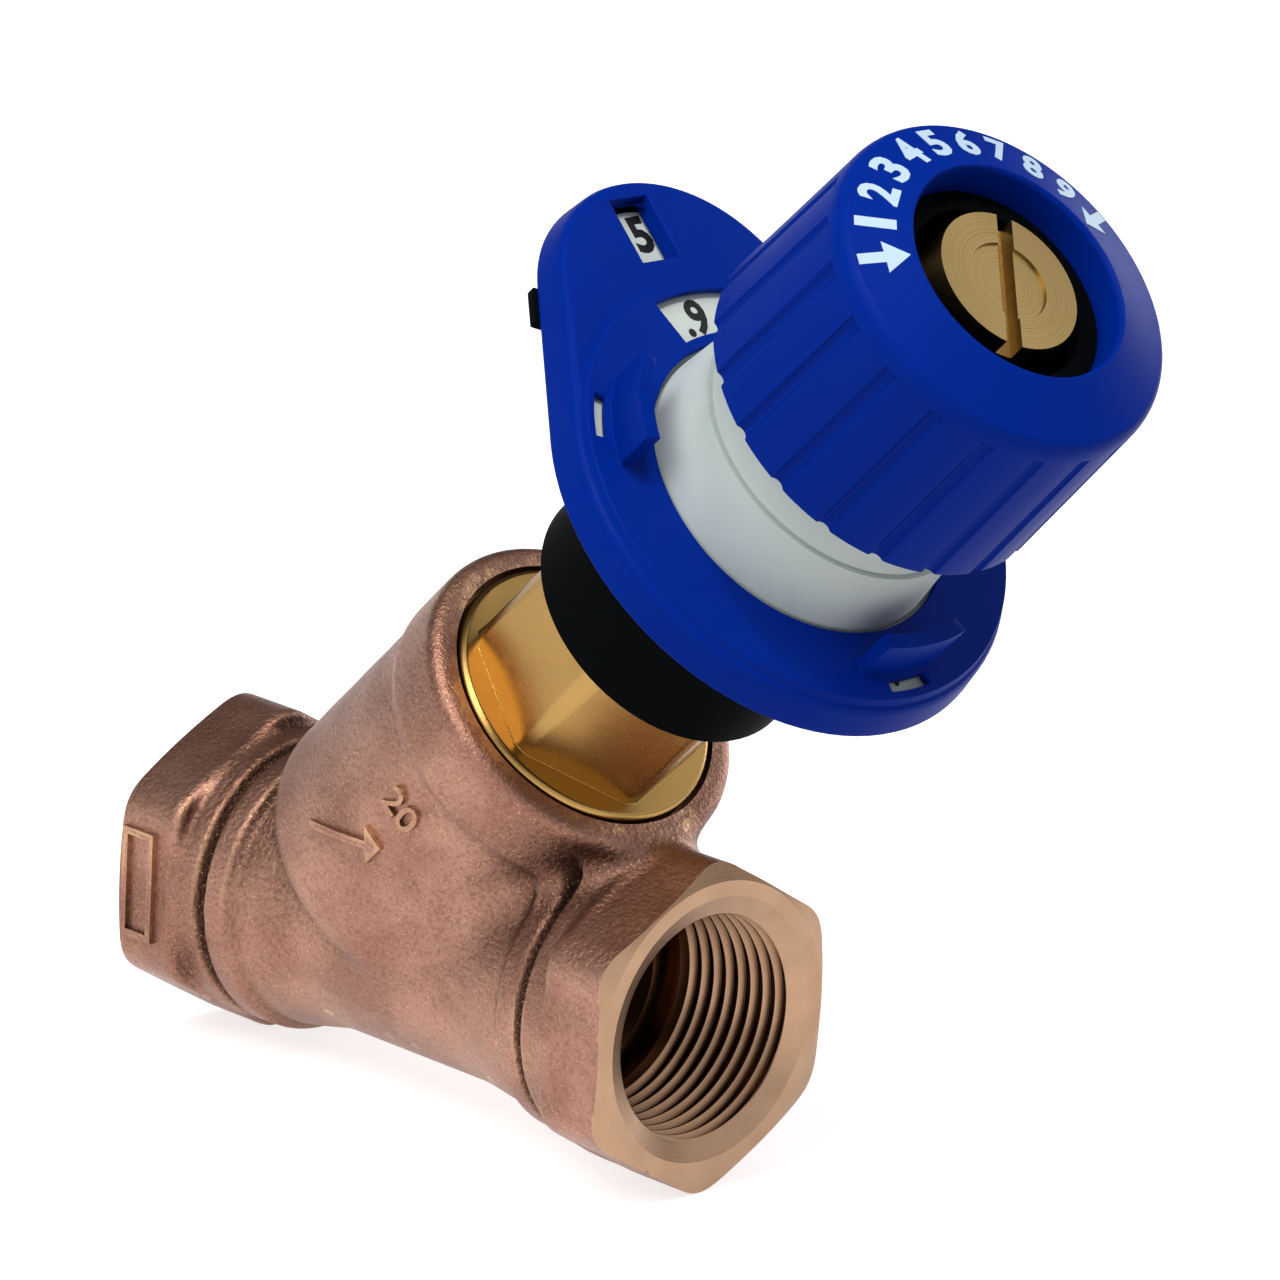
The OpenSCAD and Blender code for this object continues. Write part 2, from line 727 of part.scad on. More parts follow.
module display_base() {
    color([0.1, 0.1, 0.11]) on_branch() {
        difference() {
            rod(sleeve_r, sleeve_foot, floor_under + floor_thick / 2);
            rotate([0, 0, bonnet_hex_turn])
                hex_rod(bonnet_af + 2 * fix_gap, sleeve_foot - over, hex_top);
            rod(boss_r + fix_gap, hex_top - over, floor_top);
            rod(sleeve_r - sleeve_wall, hex_top + sleeve_shoulder, floor_top + over);
        }
        translate([0, 0, floor_under]) difference() {
            linear_extrude(rim_height + floor_thick) display_outline(cover_in);
            translate([0, 0, floor_thick])
                linear_extrude(rim_height + over) display_outline(cover_in + rim_thick);
            rod(sleeve_r - sleeve_wall, -over, floor_thick + over);
            translate([wheel_up, 0, 0]) rod(axle_r, -over, floor_thick + over);
        }
        for (way = [-1, 1]) on_side(way)
            translate([side_length - tab_length, -cover_in - rim_thick / 2, floor_under])
                cube([tab_length, cover_in + rim_thick / 2 + tab_proud, cover_foot - end_gap - floor_under]);
    }
}

module display_clip() {
    color([0.6, 0.6, 0.62]) on_branch()
        retaining_ring(boss_r - clip_groove_depth + fix_gap, hex_top + sleeve_shoulder + end_gap / 2);
}

module display_cover() {
    layer = cover_round / 3;
    round_start = lobe_top - cover_round;
    color([0.02, 0.16, 0.55]) on_branch() difference() {
        union() {
            hull() {
                translate([0, 0, cover_foot]) linear_extrude(layer) display_outline(0);
                translate([0, 0, round_start]) linear_extrude(layer / 8) display_outline(cover_draft);
                translate([0, 0, round_start + layer * 2]) linear_extrude(layer / 8)
                    display_outline(cover_draft + layer);
                translate([0, 0, lobe_top - layer / 8]) linear_extrude(layer / 8)
                    display_outline(cover_draft + cover_round);
            }
            translate([0, 0, lobe_top - over]) cylinder(
                r1 = cover_r - cover_draft - cover_round / 2, r2 = cover_r - top_inset, h = over + lobe_step);
            for (middle = [60, 180, 300])
                translate([0, 0, cover_crown - cover_top / 2])
                    ring_sector(
                        guard_r - guard_thick, guard_r, middle, guard_half, guard_height + cover_top / 2);
        }
        difference() {
            translate([0, 0, cover_foot - over])
                linear_extrude(lobe_top - cover_top - cover_foot + over) display_outline(cover_wall);
            window_block(window_wall, 0, wheel_face + free_gap, lobe_top + over);
        }
        rod(dial_r + free_gap, cover_foot, cover_crown - cover_top);
        rod(dial_collar_r + free_gap, cover_foot, cover_crown + over);
        window_block(0, window_slope, wheel_face - over, lobe_top + over);
        translate([0, 0, cover_foot]) ring_sector(sector_in, sector_out, 0, sector_half, cover_height + over);
        for (middle = [60, 180, 300]) translate([0, 0, cover_foot])
            ring_sector(slot_in, slot_out, middle, slot_half, cover_height + over);
    }
}

// Block of the number window, with a slope beside it away from the digits
module window_block(wall, slope, z0, z1) {
    translate([window_up - window_length / 2 - wall, 0, 0]) rotate([90, 0, 90])
        linear_extrude(window_length + 2 * wall) polygon([
            [window_side + window_width / 2 + wall, z0],
            [window_side + window_width / 2 + wall, z1],
            [window_side - window_width / 2 - wall - slope, z1],
            [window_side - window_width / 2 - wall - slope, lobe_top],
            [window_side - window_width / 2 - wall, z0]
        ]);
}

module counter_axle() {
    color([0.7, 0.7, 0.72]) on_branch() translate([wheel_up, 0, 0])
        rod(axle_r, floor_under, wheel_face);
}

module number_wheel() {
    notch = 180 / pinion_teeth;
    color([0.93, 0.93, 0.92]) on_branch() translate([wheel_up, 0, 0]) difference() {
        union() {
            rod(wheel_r, wheel_under, wheel_face);
            rod(pinion_r - pinion_tooth, pinion_under, wheel_under + wheel_thick / 2);
            for (i = [1:pinion_teeth]) translate([0, 0, pinion_under])
                ring_sector(pinion_r - 2 * pinion_tooth, pinion_r, i * 2 * notch, notch / 2,
                    wheel_under - pinion_under + wheel_thick / 2);
        }
        rod(axle_r + run_gap, pinion_under - over, wheel_face + over);
    }
}

module spindle() {
    color([0.76, 0.6, 0.3]) on_branch() difference() {
        union() {
            rod(screw_r, screw_end, collar_under + over);
            rod(collar_r, collar_under, collar_top);
            rod(stem_r, collar_top - over, drive_shoulder);
            hex_rod(drive_af, drive_shoulder - over, web_top);
            rod(tip_r, web_top - over, spindle_top);
        }
        rod(rod_bore_r, screw_end - over, wide_bore_floor + over);
        rod(wide_bore_r, wide_bore_floor, spindle_top + over);
        for (step = [0, 1]) stem_groove(stem_seal_low + step * stem_seal_step);
        tube(stem_r + over, stem_r - clip_groove_depth, boss_top + 2 * end_gap,
            boss_top + 2 * end_gap + clip_thick + end_gap);
    }
}

module stem_groove(z) {
    width = stem_r + run_gap - stem_groove_r;
    tube(stem_r + over, stem_groove_r, z - width / 2, z + width / 2);
}

module stem_seal_rings() {
    color([0.08, 0.08, 0.08]) on_branch()
        for (step = [0, 1])
            seal_ring(stem_groove_r, stem_r + run_gap, stem_seal_low + step * stem_seal_step);
}

module spindle_clip() {
    color([0.6, 0.6, 0.62]) on_branch()
        retaining_ring(stem_r - clip_groove_depth + fix_gap, boss_top + 2 * end_gap + end_gap / 2);
}

module tenths_dial() {
    color([0.93, 0.93, 0.92]) on_branch() difference() {
        union() {
            difference() {
                union() {
                    rod(dial_r, dial_under, dial_top);
                    rod(drive_ring_r, pinion_under, dial_under + dial_thick / 2);
                    rotate([0, 0, 180]) translate([0, -finger_width / 2, pinion_under])
                        cube([wheel_up - pinion_r - free_gap, finger_width, finger_top - pinion_under]);
                    translate([0, 0, dial_top - dial_thick / 2]) cylinder(
                        r1 = dial_collar_r, r2 = dial_collar_top_r, h = dial_collar_height + dial_thick / 2);
                }
                rod(dial_collar_top_r - dial_collar_wall,
                    pinion_under - over, dial_collar_top - dial_collar_wall);
            }
            rod(hub_r, drive_shoulder, dial_collar_top - dial_collar_wall / 2);
        }
        hex_rod(drive_af + 2 * fix_gap, drive_shoulder - over, dial_collar_top + over);
    }
}

module drive_sleeve() {
    color([0.96, 0.96, 0.95]) on_branch() difference() {
        union() {
            tube(drive_sleeve_r, drive_sleeve_r - drive_sleeve_wall, dial_collar_top, drive_top);
            rod(drive_sleeve_r - drive_sleeve_wall / 2, dial_collar_top, dial_collar_top + drive_sleeve_wall);
            rod(hub_r, dial_collar_top, drive_top);
        }
        hex_rod(drive_af + 2 * fix_gap, dial_collar_top - over, drive_top + over);
    }
}

module handwheel() {
    side_top = wheel_foot + wheel_side;
    edge = side_top + wheel_round_height;
    lean = atan((wheel_foot_r - wheel_top_r) / wheel_side);
    color([0.02, 0.16, 0.55]) on_branch() difference() {
        rotate_extrude() polygon(concat(
            [
                [0, drive_top],
                [well_r + well_wall, drive_top],
                [well_r + well_wall, side_top - wheel_wall],
                [wheel_top_r - wheel_wall, side_top - wheel_wall],
                [wheel_foot_r - wheel_wall, wheel_foot],
                [wheel_foot_r, wheel_foot]
            ],
            [for (i = [0:8]) [
                wheel_edge_r + (wheel_top_r - wheel_edge_r) * cos(i * 90 / 8),
                side_top + wheel_round_height * sin(i * 90 / 8)
            ]],
            [
                [wheel_hole_r, wheel_crown],
                [well_r, wheel_crown - 2 * (wheel_hole_r - well_r)],
                [well_r, web_top],
                [0, web_top]
            ]
        ));
        for (i = [1:grip_count]) rotate([0, 0, i * 360 / grip_count])
            translate([wheel_foot_r + grip_cutter_r - grip_depth, 0, wheel_foot])
                rotate([0, -lean, 0]) translate([0, 0, -over]) rod(grip_cutter_r, 0, wheel_side + over);
        hex_rod(drive_af + 2 * fix_gap, drive_top - over, web_top + over);
    }
}

module handwheel_nut() {
    color([0.72, 0.72, 0.74]) on_branch() difference() {
        hex_rod(nut_af, web_top, web_top + nut_height);
        rod(tip_r + fix_gap, web_top - over, web_top + nut_height + over);
    }
}

module handwheel_insert() {
    color([0.06, 0.06, 0.06]) on_branch()
        tube(well_r - fix_gap, well_r - insert_wall, web_top, wheel_crown - insert_sunk);
}

module disc_carrier() {
    color([0.76, 0.6, 0.3]) on_branch() difference() {
        hex_rod(guide_af, carrier_foot, carrier_top);
        rod(screw_r + run_gap, carrier_inside, carrier_top + over);
        rod(disc_screw_r + fix_gap, carrier_foot - over, carrier_inside + over);
    }
}

module valve_disc() {
    rim_r = disc_seal_r + fix_gap + disc_rim;
    color([0.76, 0.6, 0.3]) on_branch() difference() {
        rod(rim_r, disc_under - disc_rim_depth, carrier_foot);
        rod(disc_seal_r + fix_gap, disc_under - disc_rim_depth - over, disc_under);
        rod(disc_screw_r + fix_gap, disc_under - over, carrier_foot + over);
    }
}

module disc_seal() {
    color([0.9, 0.9, 0.88]) on_branch()
        tube(disc_seal_r, disc_screw_r + fix_gap, disc_seal_face, disc_under);
}

module throttle_cone() {
    color([0.76, 0.6, 0.3]) on_branch() difference() {
        translate([0, 0, disc_seal_face - cone_length])
            cylinder(r1 = cone_tip_r, r2 = cone_r, h = cone_length);
        rod(disc_screw_r + fix_gap, disc_seal_face - cone_length - over, disc_seal_face + over);
    }
}

module disc_screw() {
    foot = disc_seal_face - cone_length;
    color([0.7, 0.7, 0.72]) on_branch() {
        hex_rod(disc_screw_af, foot - disc_screw_head, foot);
        rod(disc_screw_r, foot - disc_screw_head / 2, carrier_inside - 4 * end_gap);
    }
}

module stop_rod() {
    color([0.8, 0.64, 0.34]) on_branch() difference() {
        union() {
            rod(rod_bore_r - run_gap, rod_end, rod_step + over);
            rod(wide_bore_r - run_gap, rod_step, head_under + over);
            rod(head_r, head_under, head_top);
        }
        tube(wide_bore_r + over, rod_groove_r, rod_seal_height - (wide_bore_r - rod_groove_r) / 2,
            rod_seal_height + (wide_bore_r - rod_groove_r) / 2);
        rotate([0, 0, slot_turn]) translate([-2 * head_r, -slot_width / 2, head_top - slot_depth])
            cube([4 * head_r, slot_width, slot_depth + over]);
        rod(head_dish_r, head_top - head_dish_depth, head_top + over);
    }
}

module stop_rod_seal_ring() {
    color([0.08, 0.08, 0.08]) on_branch() seal_ring(rod_groove_r, wide_bore_r, rod_seal_height);
}

valve_body();
bonnet();
bonnet_seal_ring();
thrust_washer();
display_base();
display_clip();
display_cover();
counter_axle();
spindle();
stem_seal_rings();
spindle_clip();
tenths_dial();
drive_sleeve();
handwheel();
handwheel_nut();
handwheel_insert();
disc_carrier();
valve_disc();
disc_seal();
throttle_cone();
disc_screw();
stop_rod();
stop_rod_seal_ring();
number_wheel();
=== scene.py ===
# %% [markdown]
# # Double regulating balancing valve
# A plumber sets the flow of a heating circuit with this valve. Water goes through the
# cast bronze body, a disc on a leaning spindle throttles it, and a blue handwheel with two
# number windows shows how far the disc is open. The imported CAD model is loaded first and
# stays where it is. The script dresses it: materials for every node, a cast skin for the
# body, softened moulded edges, and numbers on the dials.

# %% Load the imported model
import bmesh
import bpy
import json
import math
import numpy as np
from mathutils import Matrix, Vector

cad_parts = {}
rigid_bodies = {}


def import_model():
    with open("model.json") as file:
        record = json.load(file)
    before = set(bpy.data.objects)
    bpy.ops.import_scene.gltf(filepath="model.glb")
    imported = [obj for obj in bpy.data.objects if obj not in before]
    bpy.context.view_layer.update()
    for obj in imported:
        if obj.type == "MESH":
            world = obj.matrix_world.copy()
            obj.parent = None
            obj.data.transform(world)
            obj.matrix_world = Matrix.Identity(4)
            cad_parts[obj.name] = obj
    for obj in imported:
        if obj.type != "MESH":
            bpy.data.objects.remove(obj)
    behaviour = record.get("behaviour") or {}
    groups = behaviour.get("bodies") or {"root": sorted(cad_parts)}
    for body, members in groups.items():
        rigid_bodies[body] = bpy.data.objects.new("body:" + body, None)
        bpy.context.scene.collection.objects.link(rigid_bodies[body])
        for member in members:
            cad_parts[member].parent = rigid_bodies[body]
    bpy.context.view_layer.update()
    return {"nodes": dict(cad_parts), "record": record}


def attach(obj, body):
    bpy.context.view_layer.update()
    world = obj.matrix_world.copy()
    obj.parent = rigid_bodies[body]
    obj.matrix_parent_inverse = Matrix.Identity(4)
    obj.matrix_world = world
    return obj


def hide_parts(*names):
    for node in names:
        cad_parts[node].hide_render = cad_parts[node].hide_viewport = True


for leftover in list(bpy.data.objects):
    bpy.data.objects.remove(leftover)
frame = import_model()

# %% [markdown]
# Sizes below are in millimetres, as on a drawing, and MM turns them into metres. The
# bonnet, the display and the handwheel share one leaning axis, so they get a frame of
# their own: "up" points to the lobe of the display, "front" to the reader of this text,
# and "out" runs along the spindle.

# %% Frames of the pipe and of the branch
MM = 0.001
PIPE_HALF = 37.5
BRANCH_X = 22.93
SLANT = math.sqrt(0.5)
UP = Vector((-SLANT, 0, SLANT))
FRONT = Vector((0, -1, 0))
OUT = Vector((SLANT, 0, SLANT))
BRANCH_FOOT = Vector((BRANCH_X, 0, 0)) * MM
BRANCH = Matrix.Translation(BRANCH_FOOT) @ Matrix((UP, FRONT, OUT)).transposed().to_4x4()
PIPE = Matrix.Translation((PIPE_HALF * MM, 0, 0))
print("branch axis starts at", tuple(BRANCH_FOOT))

# %% [markdown]
# ## Camera
# The photograph is a product shot with a long lens, from the front right and a little
# above. The place and the lens come from a fit of the CAD outlines to the photograph.

# %% Camera
camera_data = bpy.data.cameras.new("camera")
camera_data.lens = 217.5334
camera_data.sensor_width = 36
camera = bpy.data.objects.new("camera", camera_data)
camera.location = Vector((602.558, -543.557, 256.362)) * MM
camera.rotation_euler = [math.radians(a) for a in (74.13339, -2.92424, 45.69781)]
bpy.context.scene.collection.objects.link(camera)
bpy.context.scene.camera = camera
bpy.context.scene.view_settings.view_transform = "Standard"
VIEW = camera.rotation_euler.to_matrix()
RIGHT, ABOVE, TOWARDS = (VIEW.col[i].copy() for i in range(3))
print("camera looks along", tuple(-TOWARDS))

# %% [markdown]
# ## Writing shader maths as sums
# A node tree is a formula drawn as boxes. Here a socket is wrapped in a small class, so
# that a formula can be written as Python: mask * 0.3 + 0.1 adds its own Math nodes. Every
# other node comes from one method, which takes its type, its settings and its inputs.


# %% Sockets that can be added and multiplied
class Value:
    """A number that a node gives, ready for a sum."""

    def __init__(self, owner, socket):
        self.owner, self.socket = owner, socket

    def sum(self, operation, first, second):
        return self.owner.node("ShaderNodeMath", {"operation": operation}, {0: first, 1: second})

    def larger(self, other):
        return self.sum("MAXIMUM", self, other)

    def __add__(self, other):
        return self.sum("ADD", self, other)

    def __sub__(self, other):
        return self.sum("SUBTRACT", self, other)

    def __rsub__(self, other):
        return self.sum("SUBTRACT", other, self)

    def __mul__(self, other):
        return self.sum("MULTIPLY", self, other)

    __radd__ = __add__
    __rmul__ = __mul__


# %% The one way to add a node
class Tree:
    """The nodes of a material or of the world."""

    def __init__(self, owner):
        owner.use_nodes = True
        self.tree = owner.node_tree

    def node(self, kind, settings, inputs, output=0):
        made = self.tree.nodes.new(kind)
        for key, value in settings.items():
            setattr(made, key, value)
        for key, value in inputs.items():
            self.feed(made.inputs[key], value)
        return Value(self, made.outputs[output])

    def feed(self, socket, value):
        if isinstance(value, Value):
            self.tree.links.new(value.socket, socket)
        else:
            socket.default_value = value

    def mix(self, amount, first, second):
        return self.node("ShaderNodeMix", {"data_type": "RGBA"}, {
            0: amount, 6: first, 7: second}, 2)

    def seen_directly(self):
        """1 for camera, glossy and transmission rays."""
        camera, glossy, through = (self.node("ShaderNodeLightPath", {}, {}, ray) for ray in (
            "Is Camera Ray", "Is Glossy Ray", "Is Transmission Ray"))
        return camera.larger(glossy).larger(through)

    def whole_surface(self, shader):
        """Puts another shader in the place of the Principled BSDF."""
        self.tree.nodes.remove(self.tree.nodes["Principled BSDF"])
        self.feed(self.tree.nodes["Material Output"].inputs["Surface"], shader)


# %% A finish: one material and its formula
class Finish(Tree):
    """A material whose surface node is a Principled BSDF."""

    def __init__(self, name, **fixed):
        self.material = bpy.data.materials.new(name)
        super().__init__(self.material)
        self.surface = self.tree.nodes["Principled BSDF"]
        for socket, value in fixed.items():
            label = socket.replace("_", " ").title().replace("Ior", "IOR")
            self.surface.inputs[label].default_value = value

    def wear(self, **varying):
        """What changes over the surface."""
        for socket, value in varying.items():
            self.feed(self.surface.inputs[socket.replace("_", " ").title()], value)

    def place(self):
        return self.node("ShaderNodeTexCoord", {}, {}, "Object")

    def noise(self, size, detail, rough=0.5):
        """Cloudy noise whose blobs are about size millimetres wide."""
        return self.node("ShaderNodeTexNoise", {}, {
            "Vector": self.place(), "Scale": 1 / (size * MM), "Detail": detail,
            "Roughness": rough, "Distortion": 0})

    def step(self, value, low, high):
        """0 below low, 1 above high, smooth between them."""
        return self.node("ShaderNodeMapRange", {"interpolation_type": "SMOOTHSTEP"}, {
            0: value, 1: low, 2: high})

    def bump(self, height, depth):
        """A normal from a height of 0 to 1, depth in millimetres."""
        return self.node("ShaderNodeBump", {}, {
            "Height": height, "Distance": depth * MM, "Strength": 1})

    def along(self, direction, origin):
        """Distance in millimetres from origin along a direction."""
        off = self.node("ShaderNodeVectorMath", {"operation": "SUBTRACT"}, {
            0: self.place(), 1: tuple(origin)})
        return self.node("ShaderNodeVectorMath", {"operation": "DOT_PRODUCT"}, {
            0: off, 1: tuple(direction)}, "Value") * (1 / MM)


def srgb(*levels):
    """A colour from the levels 0 to 255 that a paint program shows."""
    linear = [(v / 255 / 12.92) if v <= 10 else ((v / 255 + 0.055) / 1.055) ** 2.4 for v in levels]
    return (*linear, 1)


# %% [markdown]
# ## Stage
# Metal only looks like metal when it has something to reflect: a bright world for the
# light tones and dark cards for the deep ones. The cards are seen by reflections alone.
# Camera rays see plain white, and the floor keeps a faint shadow.

# %% World
LIGHTING_SKY = (0.38, 0.38, 0.39, 1)
SEEN_SKY = (1, 1, 1, 1)
world = bpy.data.worlds.new("world")
bpy.context.scene.world = world
sky = Tree(world)
sky.feed(sky.tree.nodes["Background"].inputs["Color"],
         sky.mix(sky.seen_directly(), LIGHTING_SKY, SEEN_SKY))
print("sky that lights:", LIGHTING_SKY, "sky that is seen:", SEEN_SKY)


# %% Floor
def plane(name, middle, across, upwards, width, height):
    """A flat sheet around a point, spanned by two directions."""
    sides = [(-1, -1), (1, -1), (1, 1), (-1, 1)]
    corners = [middle + across * (width / 2 * a) + upwards * (height / 2 * b) for a, b in sides]
    mesh = bpy.data.meshes.new(name)
    mesh.from_pydata(corners, [], [(0, 1, 2, 3)])
    sheet = bpy.data.objects.new(name, mesh)
    bpy.context.scene.collection.objects.link(sheet)
    return sheet


FLOOR_Z = -18.12 * MM  # just under the hexagons
FLOOR_SIDE = 8
PAPER_TONE, PAPER_GLOW = (0.8, 0.8, 0.8, 1), (0.72, 0.72, 0.72, 1)
MIDDLE = Vector((55, 0, 35)) * MM
floor = plane("floor", Vector((MIDDLE.x, 0, FLOOR_Z)), Vector((1, 0, 0)), Vector((0, 1, 0)),
              FLOOR_SIDE, FLOOR_SIDE)
paper = bpy.data.materials.new("paper")
sheet = Tree(paper)
matte = sheet.node("ShaderNodeBsdfDiffuse", {}, {"Color": PAPER_TONE})
glow = sheet.node("ShaderNodeEmission", {}, {"Color": PAPER_GLOW})
both = sheet.node("ShaderNodeAddShader", {}, {0: matte, 1: glow})
sheet.whole_surface(sheet.node("ShaderNodeMixShader", {}, {
    0: sheet.seen_directly(), 1: matte, 2: both}))
floor.data.materials.append(paper)
print("floor height:", FLOOR_Z, "side:", FLOOR_SIDE)


# %% Cards that only reflections see
def card(name, middle, width, height, level):
    """A grey sheet that faces the object."""
    inwards = (MIDDLE - middle).normalized()
    across = inwards.cross(Vector((0, 0, 1))).normalized()
    sheet = plane(name, middle, across, across.cross(inwards), width, height)
    for ray in ("camera", "diffuse", "transmission", "shadow", "volume_scatter"):
        setattr(sheet, "visible_" + ray, False)
    tint = bpy.data.materials.new(name)
    paint = Tree(tint)
    paint.whole_surface(paint.node("ShaderNodeEmission", {}, {"Color": (level, level, level, 1)}))
    sheet.data.materials.append(tint)


def around(right, above, towards):
    """A point in metres from the middle of the object, as the camera sees directions."""
    return MIDDLE + RIGHT * right + ABOVE * above + TOWARDS * towards


CARDS = {  # place to the right, above and towards the camera, width, height, grey
    "ceiling": (-0.1, 0.75, -0.35, 1.5, 1.1, 0.06),
    "upper_left": (-0.66, 0.5, 0.05, 1.0, 0.62, 0.04),
    "right_wall": (0.65, -0.2, -0.05, 0.6, 0.6, 0.36),
    "behind_camera": (0.05, 0.3, 0.8, 0.8, 0.5, 0.1),
}
for name, (*place, width, height, level) in CARDS.items():
    card(name, around(*place), width, height, level)
print("cards:", list(CARDS))


# %% Lamps
def lamp(name, place, size, power, colour=(1, 1, 1)):
    data = bpy.data.lights.new(name, "AREA")
    data.size, data.energy, data.color = size, power, colour
    made = bpy.data.objects.new(name, data)
    made.location = place
    made.rotation_euler = (place - MIDDLE).to_track_quat("Z", "Y").to_euler()
    bpy.context.scene.collection.objects.link(made)


lamp("key", around(-0.22, 0.38, 0.42), 0.4, 2.2)
lamp("top", around(0.1, 0.5, 0.4), 0.1, 1.8, (1, 0.93, 0.84))
lamp("rim", around(0.42, 0.2, -0.45), 0.3, 1.0)

# %% [markdown]
# ## Finishes
# Cast bronze comes out of a sand mould and is blasted: matte and grainy. Three fine noises
# of different size make the grain, the pits and bright specks that are painted glints.
# Pointiness finds small ridges, which get a painted golden highlight, and creases, which
# get painted shade. Ambient Occlusion finds the larger enclosed places, which get a darker
# painted shade. Both depend on the shape alone, so they bake well.

# %% Bronze
def bronze_skin():
    f = Finish("cast_bronze_skin", metallic=0.88)
    grain = f.noise(0.5, 4, 0.6)
    glints = f.noise(0.22, 1, 0.5)
    pits = f.noise(1.1, 2, 0.5)
    cloud = f.noise(11, 3, 0.5)
    edge = f.node("ShaderNodeNewGeometry", {}, {}, "Pointiness")
    # painted highlight: convex ridges, in patches, get a golden colour in the base
    painted_ridge_highlight = f.step(edge, 0.515, 0.56) * f.step(cloud, 0.3, 0.7)
    # painted shade: creases found by Pointiness are darkened in the base colour
    painted_crease_shade = 1 - f.step(edge, 0.44, 0.495)
    base = f.mix(f.step(cloud, 0.35, 0.68), srgb(142, 101, 86), srgb(170, 128, 110))
    base = f.mix((1 - f.step(grain, 0.32, 0.56)) * 0.35, base, srgb(88, 52, 40))
    open_sky = f.node("ShaderNodeAmbientOcclusion", {"samples": 8, "only_local": True}, {
        "Distance": 18 * MM}, "AO")
    # painted shade: places that Ambient Occlusion finds enclosed are darkened almost to black-brown
    sheltered_painted_shade = 1 - f.step(open_sky + (grain - 0.5) * 0.25, 0.5, 0.96)
    base = f.mix(painted_crease_shade * 0.75, base, srgb(66, 38, 28))
    base = f.mix(sheltered_painted_shade * 0.95, base, srgb(48, 27, 20))
    # painted highlight: ridge patches and glint specks mixed towards a light gold
    base = f.mix(painted_ridge_highlight * 0.5 + f.step(glints, 0.62, 0.7) * 0.35, base, srgb(222, 178, 130))
    relief = grain * 0.65 + pits * 0.35
    f.wear(base_color=base, roughness=0.42 - painted_ridge_highlight * 0.1 - f.step(glints, 0.62, 0.7) * 0.12,
           normal=f.bump(relief, 0.24))
    return f.material


def bronze_cut():
    f = Finish("machined_bronze", metallic=1.0)
    flattened = f.node("ShaderNodeVectorMath", {"operation": "MULTIPLY"}, {
        0: f.place(), 1: (0, 1, 1)})
    radius = f.node("ShaderNodeVectorMath", {"operation": "LENGTH"}, {0: flattened}, "Value")
    lines = f.node("ShaderNodeTexNoise", {"noise_dimensions": "1D"}, {
        "W": radius * (1 / MM), "Scale": 7, "Detail": 2})
    cloud = f.noise(4, 2)
    open_sky = f.node("ShaderNodeAmbientOcclusion", {"samples": 8, "only_local": True}, {
        "Distance": 5 * MM}, "AO")
    # painted shade: enclosed places of the bores and threads are darkened in the base colour
    sheltered_painted_shade = 1 - f.step(open_sky, 0.3, 0.85)
    base = f.mix(cloud, srgb(152, 120, 96), srgb(176, 143, 116))
    f.wear(base_color=f.mix(sheltered_painted_shade, base, srgb(88, 52, 30)),
           roughness=0.2 + lines * 0.16 - sheltered_painted_shade * 0.06, normal=f.bump(lines, 0.01))
    return f.material


# %% [markdown]
# A lathe leaves fine rings on brass. A one-dimensional noise that runs along the axis, or
# along the radius, gives such rings without an image, and feeds both gloss and bump.

# %% Brass
def brass(name, tone, rough):
    f = Finish(name, metallic=1.0)
    height = f.along(OUT, BRANCH_FOOT)
    lines = f.node("ShaderNodeTexNoise", {"noise_dimensions": "1D"}, {
        "W": height, "Scale": 9, "Detail": 3})
    cloud = f.noise(5, 2)
    dark = tuple(c * 0.82 for c in tone[:3]) + (1,)
    f.wear(base_color=f.mix(cloud, dark, tone), roughness=rough + lines * 0.1,
           normal=f.bump(lines, 0.006))
    return f.material


def turned_head():
    """The face of the stop rod, with the rings that a lathe leaves."""
    f = Finish("turned_brass", metallic=1.0, anisotropic=0.6)
    off = f.node("ShaderNodeVectorMath", {"operation": "SUBTRACT"}, {
        0: f.place(), 1: tuple(BRANCH_FOOT)})
    turn = f.node("ShaderNodeVectorMath", {"operation": "CROSS_PRODUCT"}, {0: off, 1: tuple(OUT)})
    radius = f.node("ShaderNodeVectorMath", {"operation": "LENGTH"}, {0: turn}, "Value") * (1 / MM)
    lines = f.node("ShaderNodeTexNoise", {"noise_dimensions": "1D"}, {
        "W": radius, "Scale": 6, "Detail": 3})
    f.wear(base_color=f.mix(lines, srgb(132, 108, 64), srgb(182, 156, 104)),
           roughness=0.22 + lines * 0.2, normal=f.bump(lines, 0.012))
    return f.material


# %% [markdown]
# Moulded plastic takes the fine texture of its mould: an even colour with a little cloud,
# a dull shine and a very shallow grain. Rubber and the seals are the same formula with
# other numbers, so one function makes them all.

# %% Plastics, rubber and steel
def plastic(name, tone, rough, level, grain=0.006):
    f = Finish(name, specular_ior_level=level)
    cloud = f.noise(14, 2)
    fine = f.noise(0.35, 3)
    dark = tuple(c * 0.86 for c in tone[:3]) + (1,)
    f.wear(base_color=f.mix(cloud, dark, tone), roughness=rough + (fine - 0.5) * 0.12,
           normal=f.bump(fine, grain))
    return f.material


def steel():
    f = Finish("stainless_steel", metallic=1.0)
    fine = f.noise(0.3, 3)
    f.wear(base_color=f.mix(fine, srgb(170, 172, 176), srgb(200, 202, 205)),
           roughness=0.28 + fine * 0.12, normal=f.bump(fine, 0.004))
    return f.material


